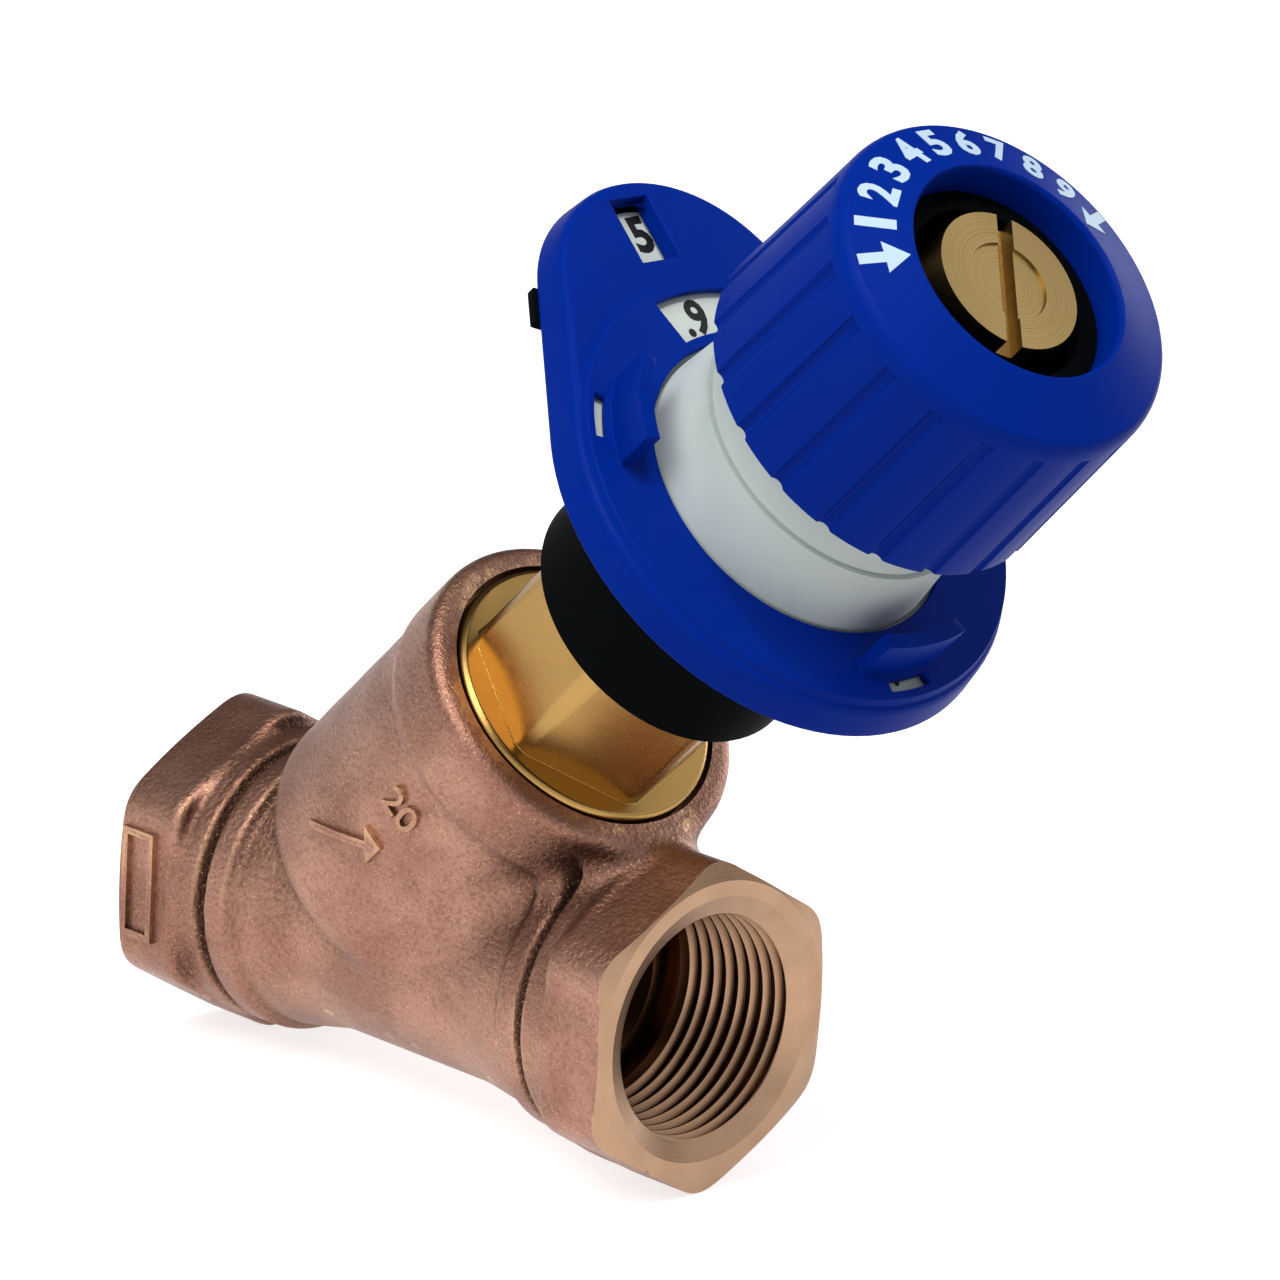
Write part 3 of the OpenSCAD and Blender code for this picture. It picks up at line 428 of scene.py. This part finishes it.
FINISHES = {
    "cast_bronze": bronze_skin(),
    "brass": brass("turned_and_milled_brass", srgb(174, 138, 80), 0.22),
    "screw_steel": steel(),
    "black_rubber": plastic("seal_rubber", srgb(22, 22, 23), 0.6, 0.4, 0.01),
    "white_ptfe": plastic("white_ptfe", srgb(232, 232, 228), 0.45, 0.4),
    "blue_plastic": plastic("blue_moulding", srgb(0, 38, 140), 0.42, 0.03),
    "black_plastic": plastic("black_moulding", srgb(7, 10, 12), 0.55, 0.01, 0.012),
    "white_plastic": plastic("white_moulding", srgb(204, 215, 210), 0.42, 0.15),
}
CUT = bronze_cut()
HEAD = turned_head()
SLOT_OF = {part["node"]: part["material_slot"] for part in frame["record"]["subparts"]}
for name, node in frame["nodes"].items():
    for slot in node.material_slots:
        slot.material = HEAD if name == "stop_rod" else FINISHES[SLOT_OF[name]]
print("finishes:", len(bpy.data.materials))

# %% [markdown]
# ## Cast body
# A casting has no sharp corners: metal flows round every meeting of two forms. So the skin
# is written as one field, a sum that is negative inside the metal and zero on its surface.
# Two forms then meet in a fillet by themselves, when the smaller of their two values is
# taken softly. The tight fillet faces the inlet, and the wide one faces the outlet.


# %% The field of the casting
def soft_larger(a, b, blend):
    reach = np.maximum(blend - np.abs(a - b), 0) / blend
    return np.maximum(a, b) + reach * reach * blend / 4


def soft_smaller(a, b, blend):
    return -soft_larger(-a, -b, blend)


def ramp_between(value, low, high):
    share = np.clip((value - low) / (high - low), 0, 1)
    return share * share * (3 - 2 * share)


# places from the middle of the pipe towards an end, and the radius of the casting at each
RING_EDGES = [10.25, 20.3, 21.2, 23.8, 24.5, 25.0, 25.6, 28, 32]
OUTLET_RADII = [13.45, 14.4, 15.4, 15.5, 14.6, 14.5, 16.1, 16.2, 16.2]
INLET_RADII = [13.45, 14.9, 16.0, 16.1, 15.0, 14.8, 16.1, 16.2, 16.2]


def pipe_profile():
    """Radius of the pipe against the place along it, with softened steps."""
    along = np.linspace(-42, 42, 1681)
    radius = np.where(along > 0, np.interp(along, RING_EDGES, OUTLET_RADII),
                      np.interp(-along, RING_EDGES, INLET_RADII))
    for way, radii in ((1, OUTLET_RADII), (-1, INLET_RADII)):
        ease = ramp_between(way * along, RING_EDGES[0], RING_EDGES[1])
        radius = np.where((way * along > RING_EDGES[0]) & (way * along < RING_EDGES[1]),
                          radii[0] + (radii[1] - radii[0]) * ease, radius)
    kernel = np.exp(-np.linspace(-3, 3, 15) ** 2 / 2)
    return along, np.convolve(np.pad(radius, 7, "edge"), kernel / kernel.sum(), "valid")


PIPE_ALONG, PIPE_RADIUS = pipe_profile()
HEX_FLAT = 32.55 / 2
HEX_CORNER = 18.09
HEX_START = 28.5
HEX_ROUND, HEX_SHOULDER = 0.7, 1.2
BARREL_R = 17.9
BARREL_TOP = 43.9
BARREL_FOOT = 7
RIM_ROUND, FOOT_ROUND = 1.8, 5
BAND_PROUD, BAND_FROM, BAND_TO = 0.6, 34.4, 36.2
TIGHT_FILLET, WIDER_BY, HEX_FILLET = 1.2, 3.4, 0.8
SWAY = 0.03  # how far a cast face wanders from the true one
BLANK_HALF = 38.7


def hexagon(x, y, z):
    """One hexagon at each end, with the corners turned off."""
    flats = [np.abs(y * math.cos(a) + z * math.sin(a)) - HEX_FLAT
             for a in np.radians((0, 60, 120))]
    body = soft_larger(soft_larger(flats[0], flats[1], HEX_ROUND), flats[2], HEX_ROUND)
    body = soft_larger(body, np.hypot(y, z) - HEX_CORNER, HEX_ROUND)
    return soft_larger(body, HEX_START - np.abs(x), HEX_SHOULDER)


def barrel(x, y, z):
    """The leaning branch, with its thick band and rounded foot and rim."""
    along = (x + PIPE_HALF - BRANCH_X + z) * SLANT
    away = np.hypot((z - (x + PIPE_HALF - BRANCH_X)) * SLANT, y)
    side = away - BARREL_R - BAND_PROUD * ramp_between(along, BAND_FROM, BAND_TO)
    body = soft_larger(side, BARREL_FOOT - along, FOOT_ROUND)
    return soft_larger(body, along - BARREL_TOP, RIM_ROUND)


def casting(x, y, z):
    """Negative inside the metal. x is measured from the middle of the pipe."""
    rho = np.hypot(y, z)
    pipe = np.maximum(rho - np.interp(x, PIPE_ALONG, PIPE_RADIUS), np.abs(x) - HEX_START - 1)
    # the fillet widens towards the outlet and upwards
    blend = TIGHT_FILLET + WIDER_BY * ramp_between(x, -3, 9) * ramp_between(z, -5, 7)
    body = soft_smaller(pipe, barrel(x, y, z), blend)
    body = soft_smaller(body, hexagon(x, y, z), HEX_FILLET)
    sway = np.sin(0.61 * x + 0.8) * np.sin(0.53 * y + 1.9) * np.sin(0.57 * z + 0.4)
    return np.maximum(body - SWAY * sway + SWAY, np.abs(x) - BLANK_HALF)


print("radius at the waist:", float(np.interp(0, PIPE_ALONG, PIPE_RADIUS)))

# %% [markdown]
# The field is sampled on a grid. Every small cell that the surface passes through gets one
# point, and four cells around a crossed edge share a face. The points are then moved along
# the slope of the field until they lie on the surface, and evened out.


# %% From the field to a mesh
def slope(field, points, reach=0.02):
    value = field(*points.T)
    parts = []
    for axis in range(3):
        moved = points.copy()
        moved[:, axis] += reach
        parts.append((field(*moved.T) - value) / reach)
    return value, np.stack(parts, 1)


def settle(field, points, cell, rounds):
    """Moves points along the slope until the field is zero there."""
    for _ in range(rounds):
        value, way = slope(field, points)
        move = value[:, None] * way / np.maximum((way ** 2).sum(1), 0.2)[:, None]
        size = np.linalg.norm(move, axis=1, keepdims=True)
        points = points - move * np.minimum(1, cell / np.maximum(size, cell))
    return points


def crossed_cells(inside):
    a, b, c = (n - 1 for n in inside.shape)
    count = sum(inside[i:a + i, j:b + j, k:c + k].astype(np.int8)
                for i in (0, 1) for j in (0, 1) for k in (0, 1))
    return (count > 0) & (count < 8)


def skin(field, low, high, cell):
    """Points and four-sided faces of the surface where the field is zero."""
    axes = [np.arange(a, b + cell, cell) for a, b in zip(low, high)]
    inside = field(*np.meshgrid(*axes, indexing="ij")) < 0
    crossed = crossed_cells(inside)
    number = np.full(crossed.shape, -1)
    number[crossed] = np.arange(crossed.sum())
    points = np.array(low) + (np.argwhere(crossed) + 0.5) * cell
    faces = []
    for axis in range(3):
        first = np.moveaxis(inside, axis, 0)
        cells = np.moveaxis(number, axis, 0)
        flip = axis == 1
        change = first[:-1, 1:-1, 1:-1].astype(int) - first[1:, 1:-1, 1:-1]
        for sign in (1, -1):
            i, j, k = np.nonzero(change == sign)
            ring = [cells[i, j, k], cells[i, j + 1, k], cells[i, j + 1, k + 1], cells[i, j, k + 1]]
            faces.append(np.stack(ring[::-1] if (sign < 0) != flip else ring, 1))
    return points, np.concatenate(faces)


def even_out(field, points, faces, cell, rounds):
    """Moves each point to the middle of its neighbours, then back to the surface."""
    pairs = np.concatenate([faces[:, [i, (i + 1) % 4]] for i in range(4)])
    for _ in range(rounds):
        total = np.zeros_like(points)
        count = np.bincount(pairs[:, 0], minlength=len(points))
        for axis in range(3):
            total[:, axis] = np.bincount(pairs[:, 0], points[pairs[:, 1], axis], len(points))
        points = points * 0.4 + total / np.maximum(count, 1)[:, None] * 0.6
        points = settle(field, points, cell, 2)
    return points


CELL = 0.44
GRID_LOW, GRID_HIGH = (-39.2, -19.5, -19.2), (39.2, 19.5, 46)
points, faces = skin(casting, GRID_LOW, GRID_HIGH, CELL)
points = settle(casting, points, CELL, 4)
points = even_out(casting, points, faces, CELL, 2)
print("skin:", len(points), "points,", len(faces), "faces")

# %% [markdown]
# ## Machining
# The foundry's blank goes to a lathe. Each cut is a solid of revolution that is taken away:
# the end faces with their countersunk mouths and pipe threads, the passages, the chamber
# with its seat, and the recess for the bonnet.


# %% Helpers for solids
def new_object(name, mesh):
    made = bpy.data.objects.new(name, mesh)
    bpy.context.scene.collection.objects.link(made)
    return made


def lathe(name, outline, place, sides=144):
    """A closed solid from points (radius, height) in millimetres, turned about Z."""
    shape = bmesh.new()
    turns = [2 * math.pi * i / sides for i in range(sides)]
    rings = []
    for radius, height in outline:
        if radius < 1e-6:
            rings.append([shape.verts.new((0, 0, height * MM))] * sides)
        else:
            rings.append([shape.verts.new((
                radius * MM * math.cos(a), radius * MM * math.sin(a), height * MM)) for a in turns])
    for low_ring, high_ring in zip(rings, rings[1:] + rings[:1]):
        for i in range(sides):
            after = (i + 1) % sides
            corners = [low_ring[i], low_ring[after], high_ring[after], high_ring[i]]
            corners = list(dict.fromkeys(corners))
            if len(corners) > 2:
                shape.faces.new(corners)
    bmesh.ops.recalc_face_normals(shape, faces=shape.faces)
    shape.transform(place)
    mesh = bpy.data.meshes.new(name)
    shape.to_mesh(mesh)
    shape.free()
    return new_object(name, mesh)


def trim(solid, point, normal):
    """Takes off what lies on the far side of a plane and closes the cut."""
    shape = bmesh.new()
    shape.from_mesh(solid.data)
    cut = bmesh.ops.bisect_plane(shape, geom=shape.verts[:] + shape.edges[:] + shape.faces[:],
                                 plane_co=point, plane_no=normal, clear_outer=True)
    rim = [e for e in cut["geom_cut"] if isinstance(e, bmesh.types.BMEdge)]
    bmesh.ops.edgeloop_fill(shape, edges=rim)
    bmesh.ops.recalc_face_normals(shape, faces=shape.faces)
    shape.to_mesh(solid.data)
    shape.free()
    return solid


# %% Cutters
PORT_END = 18.912  # the passages reach a millimetre past this, into the cut of the port
PASSAGE_R = 10
CHAMBER = [  # radius and height along the branch: seat, chamber, recess and mouth for the bonnet
    (0, -2.5), (9, -2.5), (9, 10.5), (11, 10.5), (11, 9.5), (13.6, 9.5), (13.6, 29.7),
    (14.23, 29.7), (14.23, 40.8), (15.65, 40.8), (15.65, 47), (0, 47)]
TO_OUTLET = Matrix.Rotation(math.pi / 2, 4, "Y")
TO_INLET = Matrix.Rotation(-math.pi / 2, 4, "Y")


def port_outline():
    """Half section of everything that is cut from one end, heights from the pipe's middle."""
    face, mouth, crest, root = PIPE_HALF, 1.1, 12.06, 13.22
    pitch, turns, land, relief = 1.814, 8, 1.3, 2.0
    beyond, corners_off, face_edge, mouth_edge = 23, 1.993, 15.975, 14.3
    outline = [(0, face + 3), (beyond, face + 3), (beyond, face - corners_off), (face_edge, face),
               (mouth_edge, face), (crest + 0.1, face - mouth + 0.05)]
    for i in range(turns):
        top = face - mouth - i * pitch
        outline += [(crest, top - 0.05), (crest, top - 0.13), (crest + 0.12, top - 0.22),
                    (root - 0.12, top - 0.73), (root, top - 0.84), (root, top - 0.98),
                    (root - 0.12, top - 1.08), (crest + 0.12, top - pitch + 0.22),
                    (crest, top - pitch + 0.13)]
    last = face - mouth - turns * pitch
    outline += [(crest, last - land), (root, last - land - 0.13),
                (root, last - land - relief), (0, last - land - relief)]
    return outline


def cutters():
    made = [lathe("outlet_cut", port_outline(), PIPE @ TO_OUTLET),
            lathe("inlet_cut", port_outline(), PIPE @ TO_INLET)]
    for name, way, back, height, side in (("inlet_passage", TO_INLET, -10, 6, OUT),
                                          ("outlet_passage", TO_OUTLET, -14.57, 9.5, -OUT)):
        passage = [(0, back), (PASSAGE_R, back), (PASSAGE_R, PORT_END + 1), (0, PORT_END + 1)]
        made.append(trim(lathe(name, passage, PIPE @ way), BRANCH_FOOT + OUT * height * MM, side))
    made.append(lathe("chamber", CHAMBER, BRANCH))
    return made


# %% Cut the blank
def bake(solid):
    """Applies the modifiers to the object's mesh, and leaves none."""
    graph = bpy.context.evaluated_depsgraph_get()
    mesh = bpy.data.meshes.new_from_object(solid.evaluated_get(graph))
    solid.modifiers.clear()
    solid.data = mesh


blank_mesh = bpy.data.meshes.new("cast_body")
blank_mesh.from_pydata((points + (PIPE_HALF, 0, 0)) * MM, [], faces)
blank_mesh.validate()
cast_body = new_object("cast_body", blank_mesh)
tools = cutters()
for tool in tools:
    cut = cast_body.modifiers.new(tool.name, "BOOLEAN")
    cut.operation, cut.solver, cut.object = "DIFFERENCE", "MANIFOLD", tool
bake(cast_body)
for tool in tools:
    bpy.data.objects.remove(tool)
print("cast body:", len(cast_body.data.vertices), "points")


# %% Tell machined faces from cast ones, and mark the edges
def mark_sharp(mesh, angle, cut_angle=None):
    """Edges that turn by more than the angle stay crisp, the rest is smooth."""
    limits = (math.radians(angle), math.radians(cut_angle or angle))
    shape = bmesh.new()
    shape.from_mesh(mesh)
    for face in shape.faces:
        face.smooth = True
    for edge in shape.edges:
        limit = limits[max((f.material_index for f in edge.link_faces), default=0)]
        edge.smooth = len(edge.link_faces) == 2 and edge.calc_face_angle() < limit
    shape.to_mesh(mesh)
    shape.free()


CUT_BELOW = 0.08  # a face whose middle lies deeper than this in the casting was cut
CAST_CREASE, CUT_CREASE, MOULD_CREASE = 32, 12, 40
mesh = cast_body.data
middles = np.zeros(len(mesh.polygons) * 3)
mesh.polygons.foreach_get("center", middles)
middles = middles.reshape(-1, 3) / MM - (PIPE_HALF, 0, 0)
machined = casting(*middles.T) < -CUT_BELOW
mesh.materials.clear()
mesh.materials.append(FINISHES["cast_bronze"])
mesh.materials.append(CUT)
mesh.polygons.foreach_set("material_index", machined.astype(np.int32))
mark_sharp(mesh, CAST_CREASE, CUT_CREASE)
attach(cast_body, "body")
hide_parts("valve_body")
print("machined faces:", int(machined.sum()), "of", len(machined))

# %% [markdown]
# ## Softened edges
# No moulded or turned edge is perfectly sharp: a narrow round catches the light along it.
# The CAD mesh has triangles across its flat faces, so those are joined first, and then
# every edge that turns by more than 35 degrees is bevelled.

# %% Round the edges of the moulded and turned pieces
SOFT_EDGES = {"handwheel": (0.22, "handwheel_assembly"), "display_cover": (0.16, "body"),
              "display_base": (0.2, "body"), "drive_sleeve": (0.2, "handwheel_assembly"),
              "bonnet": (0.2, "body"), "handwheel_insert": (0.2, "handwheel_assembly")}
ROUND_FROM, FLAT_TO = 35, 0.4  # degrees: a corner is rounded from here, a joint is flat up to here


def softened(name, width):
    """A copy of a node with rounded edges, or None when the bevel would spoil the shape."""
    source = frame["nodes"][name]
    shape = bmesh.new()
    shape.from_mesh(source.data)
    bmesh.ops.remove_doubles(shape, verts=shape.verts, dist=1e-7)
    bmesh.ops.dissolve_limit(shape, angle_limit=math.radians(FLAT_TO), verts=shape.verts,
                             edges=shape.edges)
    before = shape.calc_volume()
    edges = [e for e in shape.edges
             if len(e.link_faces) == 2 and e.calc_face_angle() > math.radians(ROUND_FROM)]
    bmesh.ops.bevel(shape, geom=edges, offset=width * MM, offset_type="OFFSET", segments=2,
                    profile=0.5, affect="EDGES", clamp_overlap=False, loop_slide=True)
    after = shape.calc_volume()
    spots = np.array([v.co for v in shape.verts])
    old = np.array([v.co for v in source.data.vertices])
    outside = max((old.min(0) - spots.min(0)).max(), (spots.max(0) - old.max(0)).max())
    print(name, "edges:", len(edges), "volume ratio:", round(after / before, 4))
    if outside > 1e-6 or abs(after / before - 1) > 0.04:
        shape.free()
        return None
    bmesh.ops.triangulate(shape, faces=[f for f in shape.faces if len(f.verts) > 4])
    mesh = bpy.data.meshes.new(name + "_soft")
    shape.to_mesh(mesh)
    shape.free()
    return mesh


for name, (width, body) in SOFT_EDGES.items():
    mesh = softened(name, width)
    if mesh is not None:
        mesh.materials.clear()
        mesh.materials.append(FINISHES[SLOT_OF[name]])
        mark_sharp(mesh, MOULD_CREASE)
        made = new_object(name + "_soft", mesh)
        made.matrix_world = frame["nodes"][name].matrix_world
        shading = made.modifiers.new("even_shading", "WEIGHTED_NORMAL")
        shading.keep_sharp = True
        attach(made, body)
        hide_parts(name)

# %% [markdown]
# ## Marks and numbers
# A mark starts as a flat shape. It is cut into small tiles, so that it can follow a round
# or conical face, and then becomes a thin closed solid that sits in that face. A solid
# keeps its place when the dial turns, and needs no image.


# %% Flat shapes
def flat_text(text, weight):
    """The filled outline of a text, about one unit tall."""
    curve = bpy.data.curves.new("text", "FONT")
    curve.body, curve.offset, curve.resolution_u = text, weight, 3
    holder = bpy.data.objects.new("text", curve)
    shape = bmesh.new()
    shape.from_mesh(holder.to_mesh())
    holder.to_mesh_clear()
    bpy.data.objects.remove(holder)
    bmesh.ops.remove_doubles(shape, verts=shape.verts, dist=1e-5)
    return shape


def flat_outline(*loops):
    """A filled polygon; later loops are holes."""
    shape = bmesh.new()
    for loop in loops:
        ring = [shape.verts.new((x, y, 0)) for x, y in loop]
        for i, point in enumerate(ring):
            shape.edges.new((point, ring[(i + 1) % len(ring)]))
    bmesh.ops.triangle_fill(shape, use_beauty=True, edges=shape.edges[:], normal=(0, 0, 1))
    return shape


def fitted(shape, width, height):
    """Centres a flat shape and gives it a size in millimetres."""
    spots = np.array([v.co for v in shape.verts])
    low, high = spots.min(0), spots.max(0)
    for v in shape.verts:
        v.co.x = (v.co.x - (low[0] + high[0]) / 2) / (high[0] - low[0]) * width
        v.co.y = (v.co.y - (low[1] + high[1]) / 2) / (high[1] - low[1]) * height
    return shape


# %% From a flat shape to a solid in a curved face
def tile(shape, step):
    """Cuts the faces along a square grid."""
    spots = np.array([v.co for v in shape.verts])
    for axis in (0, 1):
        normal = Vector((axis == 0, axis == 1, 0))
        for cut in np.arange(spots[:, axis].min() + step, spots[:, axis].max(), step):
            bmesh.ops.bisect_plane(shape, geom=shape.verts[:] + shape.edges[:] + shape.faces[:],
                                   plane_co=normal * cut, plane_no=normal, dist=1e-4)


def raised(name, shape, wrap, low, high, body, material, step=0.7):
    """A closed solid between two heights over a face; wrap(x, y, height) gives its points."""
    tile(shape, step)
    shape.normal_update()
    if sum(face.normal.z for face in shape.faces) < 0:
        bmesh.ops.reverse_faces(shape, faces=shape.faces)
    solid = bmesh.new()
    lower = [solid.verts.new(wrap(v.co.x, v.co.y, low) * MM) for v in shape.verts]
    upper = [solid.verts.new(wrap(v.co.x, v.co.y, high) * MM) for v in shape.verts]
    shape.verts.index_update()
    for face in shape.faces:
        ring = [v.index for v in face.verts]
        solid.faces.new([upper[i] for i in ring])
        solid.faces.new([lower[i] for i in reversed(ring)])
        for loop in face.loops:
            if len(loop.edge.link_faces) == 1:
                a, b = loop.vert.index, loop.link_loop_next.vert.index
                solid.faces.new((lower[a], lower[b], upper[b], upper[a]))
    mesh = bpy.data.meshes.new(name)
    solid.to_mesh(mesh)
    shape.free()
    solid.free()
    mesh.materials.append(material)
    made = new_object(name, mesh)
    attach(made, body)
    return made


def on_branch(up, front, out):
    return BRANCH_FOOT / MM + UP * up + FRONT * front + OUT * out


# %% Where the marks sit
WHEEL_CROWN, HOLE_R, CROWN_SLOPE = 124.2, 12.35, 2.2 / 5.75  # the conical top of the handwheel
DIAL_TOP, COUNTER_FACE = 83.8, 81.7  # heights along the branch
COUNTER_UP = 25.6  # from the branch axis to the axis of the number wheel
COUNTER_SPOT = (6.8, -0.7)  # where the shown number stands, up and front of the wheel's axis
SIXTH, TENTH, WHEEL_STEP = 60, 36, 14.5  # degrees from number to number


def round_face(radius, turn, level):
    """Reads from outside in: the top of the shape points away from the axis."""
    a = math.radians(turn)

    def wrap(x, y, height):
        up = (radius + y) * math.cos(a) + x * math.sin(a)
        front = (radius + y) * math.sin(a) - x * math.cos(a)
        return on_branch(up, front, level(math.hypot(up, front)) + height)
    return wrap


def crown(radius):
    return WHEEL_CROWN - (radius - HOLE_R) * CROWN_SLOPE


def counter_face(digit):
    a = math.radians((digit - 5) * SIXTH)

    def wrap(x, y, height):
        up, front = COUNTER_SPOT[0] + y, COUNTER_SPOT[1] - x
        return on_branch(COUNTER_UP + up * math.cos(a) - front * math.sin(a),
                         up * math.sin(a) + front * math.cos(a), COUNTER_FACE + height)
    return wrap


# %% Numbers on the dials and on the handwheel
INK = plastic("printed_black", srgb(16, 17, 20), 0.5, 0.3)
PRINT = plastic("printed_light_blue", srgb(184, 210, 234), 0.5, 0.2)
BOLD, LESS_BOLD = 0.035, 0.03
FLAT_SINK, FLAT_RISE, FLAT_TILE = -0.02, 0.05, 3
CROWN_SINK, CROWN_RISE = -0.04, 0.06
TENTHS_R, DIGITS_R, ARROWS_R = 21, 15.9, 16.1
TENTHS_TURN, FIRST_DIGIT, ARROW_TURN = 1.5, 58, 73  # degrees from the upper side


def digit_shape(digit, height):
    """One digit; a one is half as wide as the others."""
    return fitted(flat_text(str(digit), BOLD), 1.2 if digit == 1 else 2.4, height)


for digit in range(6):
    raised(f"counter_digit_{digit}", digit_shape(digit, 4.4), counter_face(digit),
           FLAT_SINK, FLAT_RISE, "counter", INK, FLAT_TILE)
for digit in range(10):
    tenth = fitted(flat_text(f".{digit}", LESS_BOLD), 2.7 if digit == 1 else 3.5, 4.3)
    raised(f"tenths_digit_{digit}", tenth,
           round_face(TENTHS_R, (9 - digit) * TENTH + TENTHS_TURN, lambda r: DIAL_TOP),
           FLAT_SINK, FLAT_RISE, "handwheel_assembly", INK, FLAT_TILE)
for digit in range(1, 10):
    raised(f"handwheel_digit_{digit}", digit_shape(digit, 3.9),
           round_face(DIGITS_R, FIRST_DIGIT - (digit - 1) * WHEEL_STEP, crown),
           CROWN_SINK, CROWN_RISE, "handwheel_assembly", PRINT)
ARROW = [(-0.6, 2), (-0.6, -0.6), (-1.8, -0.6), (0, -3), (1.8, -0.6), (0.6, -0.6), (0.6, 2)]
for side in (-1, 1):
    raised(f"handwheel_arrow_{(side + 1) // 2}", flat_outline(ARROW),
           round_face(ARROWS_R, side * ARROW_TURN, crown), CROWN_SINK, CROWN_RISE,
           "handwheel_assembly", PRINT)
printed = [o for o in bpy.data.objects if "digit" in o.name or "arrow" in o.name]
print("printed marks:", len(printed))

# %% [markdown]
# The foundry's marks stand half a millimetre proud of the skin: a flow arrow that points
# to the outlet, a plain number and an empty frame. They have the finish of the casting.

# %% Raised marks on the casting


def on_barrel(middle_up, middle_out, across, upwards):
    """A patch on the front of the barrel, spanned by two directions (up, out)."""
    def wrap(x, y, height):
        up = middle_up + x * across[0] + y * upwards[0]
        out = middle_out + x * across[1] + y * upwards[1]
        radius = BARREL_R + height
        return on_branch(up, math.sqrt(radius * radius - up * up), out)
    return wrap


def on_hexagon(x, y, height):
    return Vector((x, -HEX_FLAT - height, y))


FLOW = [(-5.5, -0.4), (3.4, -0.4), (3.4, -2.1), (5.5, 0), (3.4, 2.1), (3.4, 0.4), (-5.5, 0.4)]
FRAME = [(1.025, -6.15), (5.925, -6.15), (5.925, 6.15), (1.025, 6.15)]
INNER = [(1.825, -5.35), (5.125, -5.35), (5.125, 5.35), (1.825, 5.35)]
CAST = FINISHES["cast_bronze"]
MARK_SINK, MARK_RISE, NUMBER_RISE = -0.5, 0.5, 0.45
along_flow = on_barrel(0, 20.5, (-SLANT, SLANT), (SLANT, SLANT))
below_band = on_barrel(-2.4, 30, (-1, 0), (0, 1))
cast_marks = [
    raised("flow_arrow", flat_outline(FLOW), along_flow, MARK_SINK, MARK_RISE,
           "body", CAST),
    raised("cast_number", fitted(flat_text("20", 0.01), 4.6, 3.4), below_band,
           MARK_SINK, NUMBER_RISE, "body", CAST),
    raised("cast_frame", flat_outline(FRAME, INNER), on_hexagon, MARK_SINK, MARK_RISE,
           "body", CAST)]
print("cast marks:", [mark.name for mark in cast_marks])
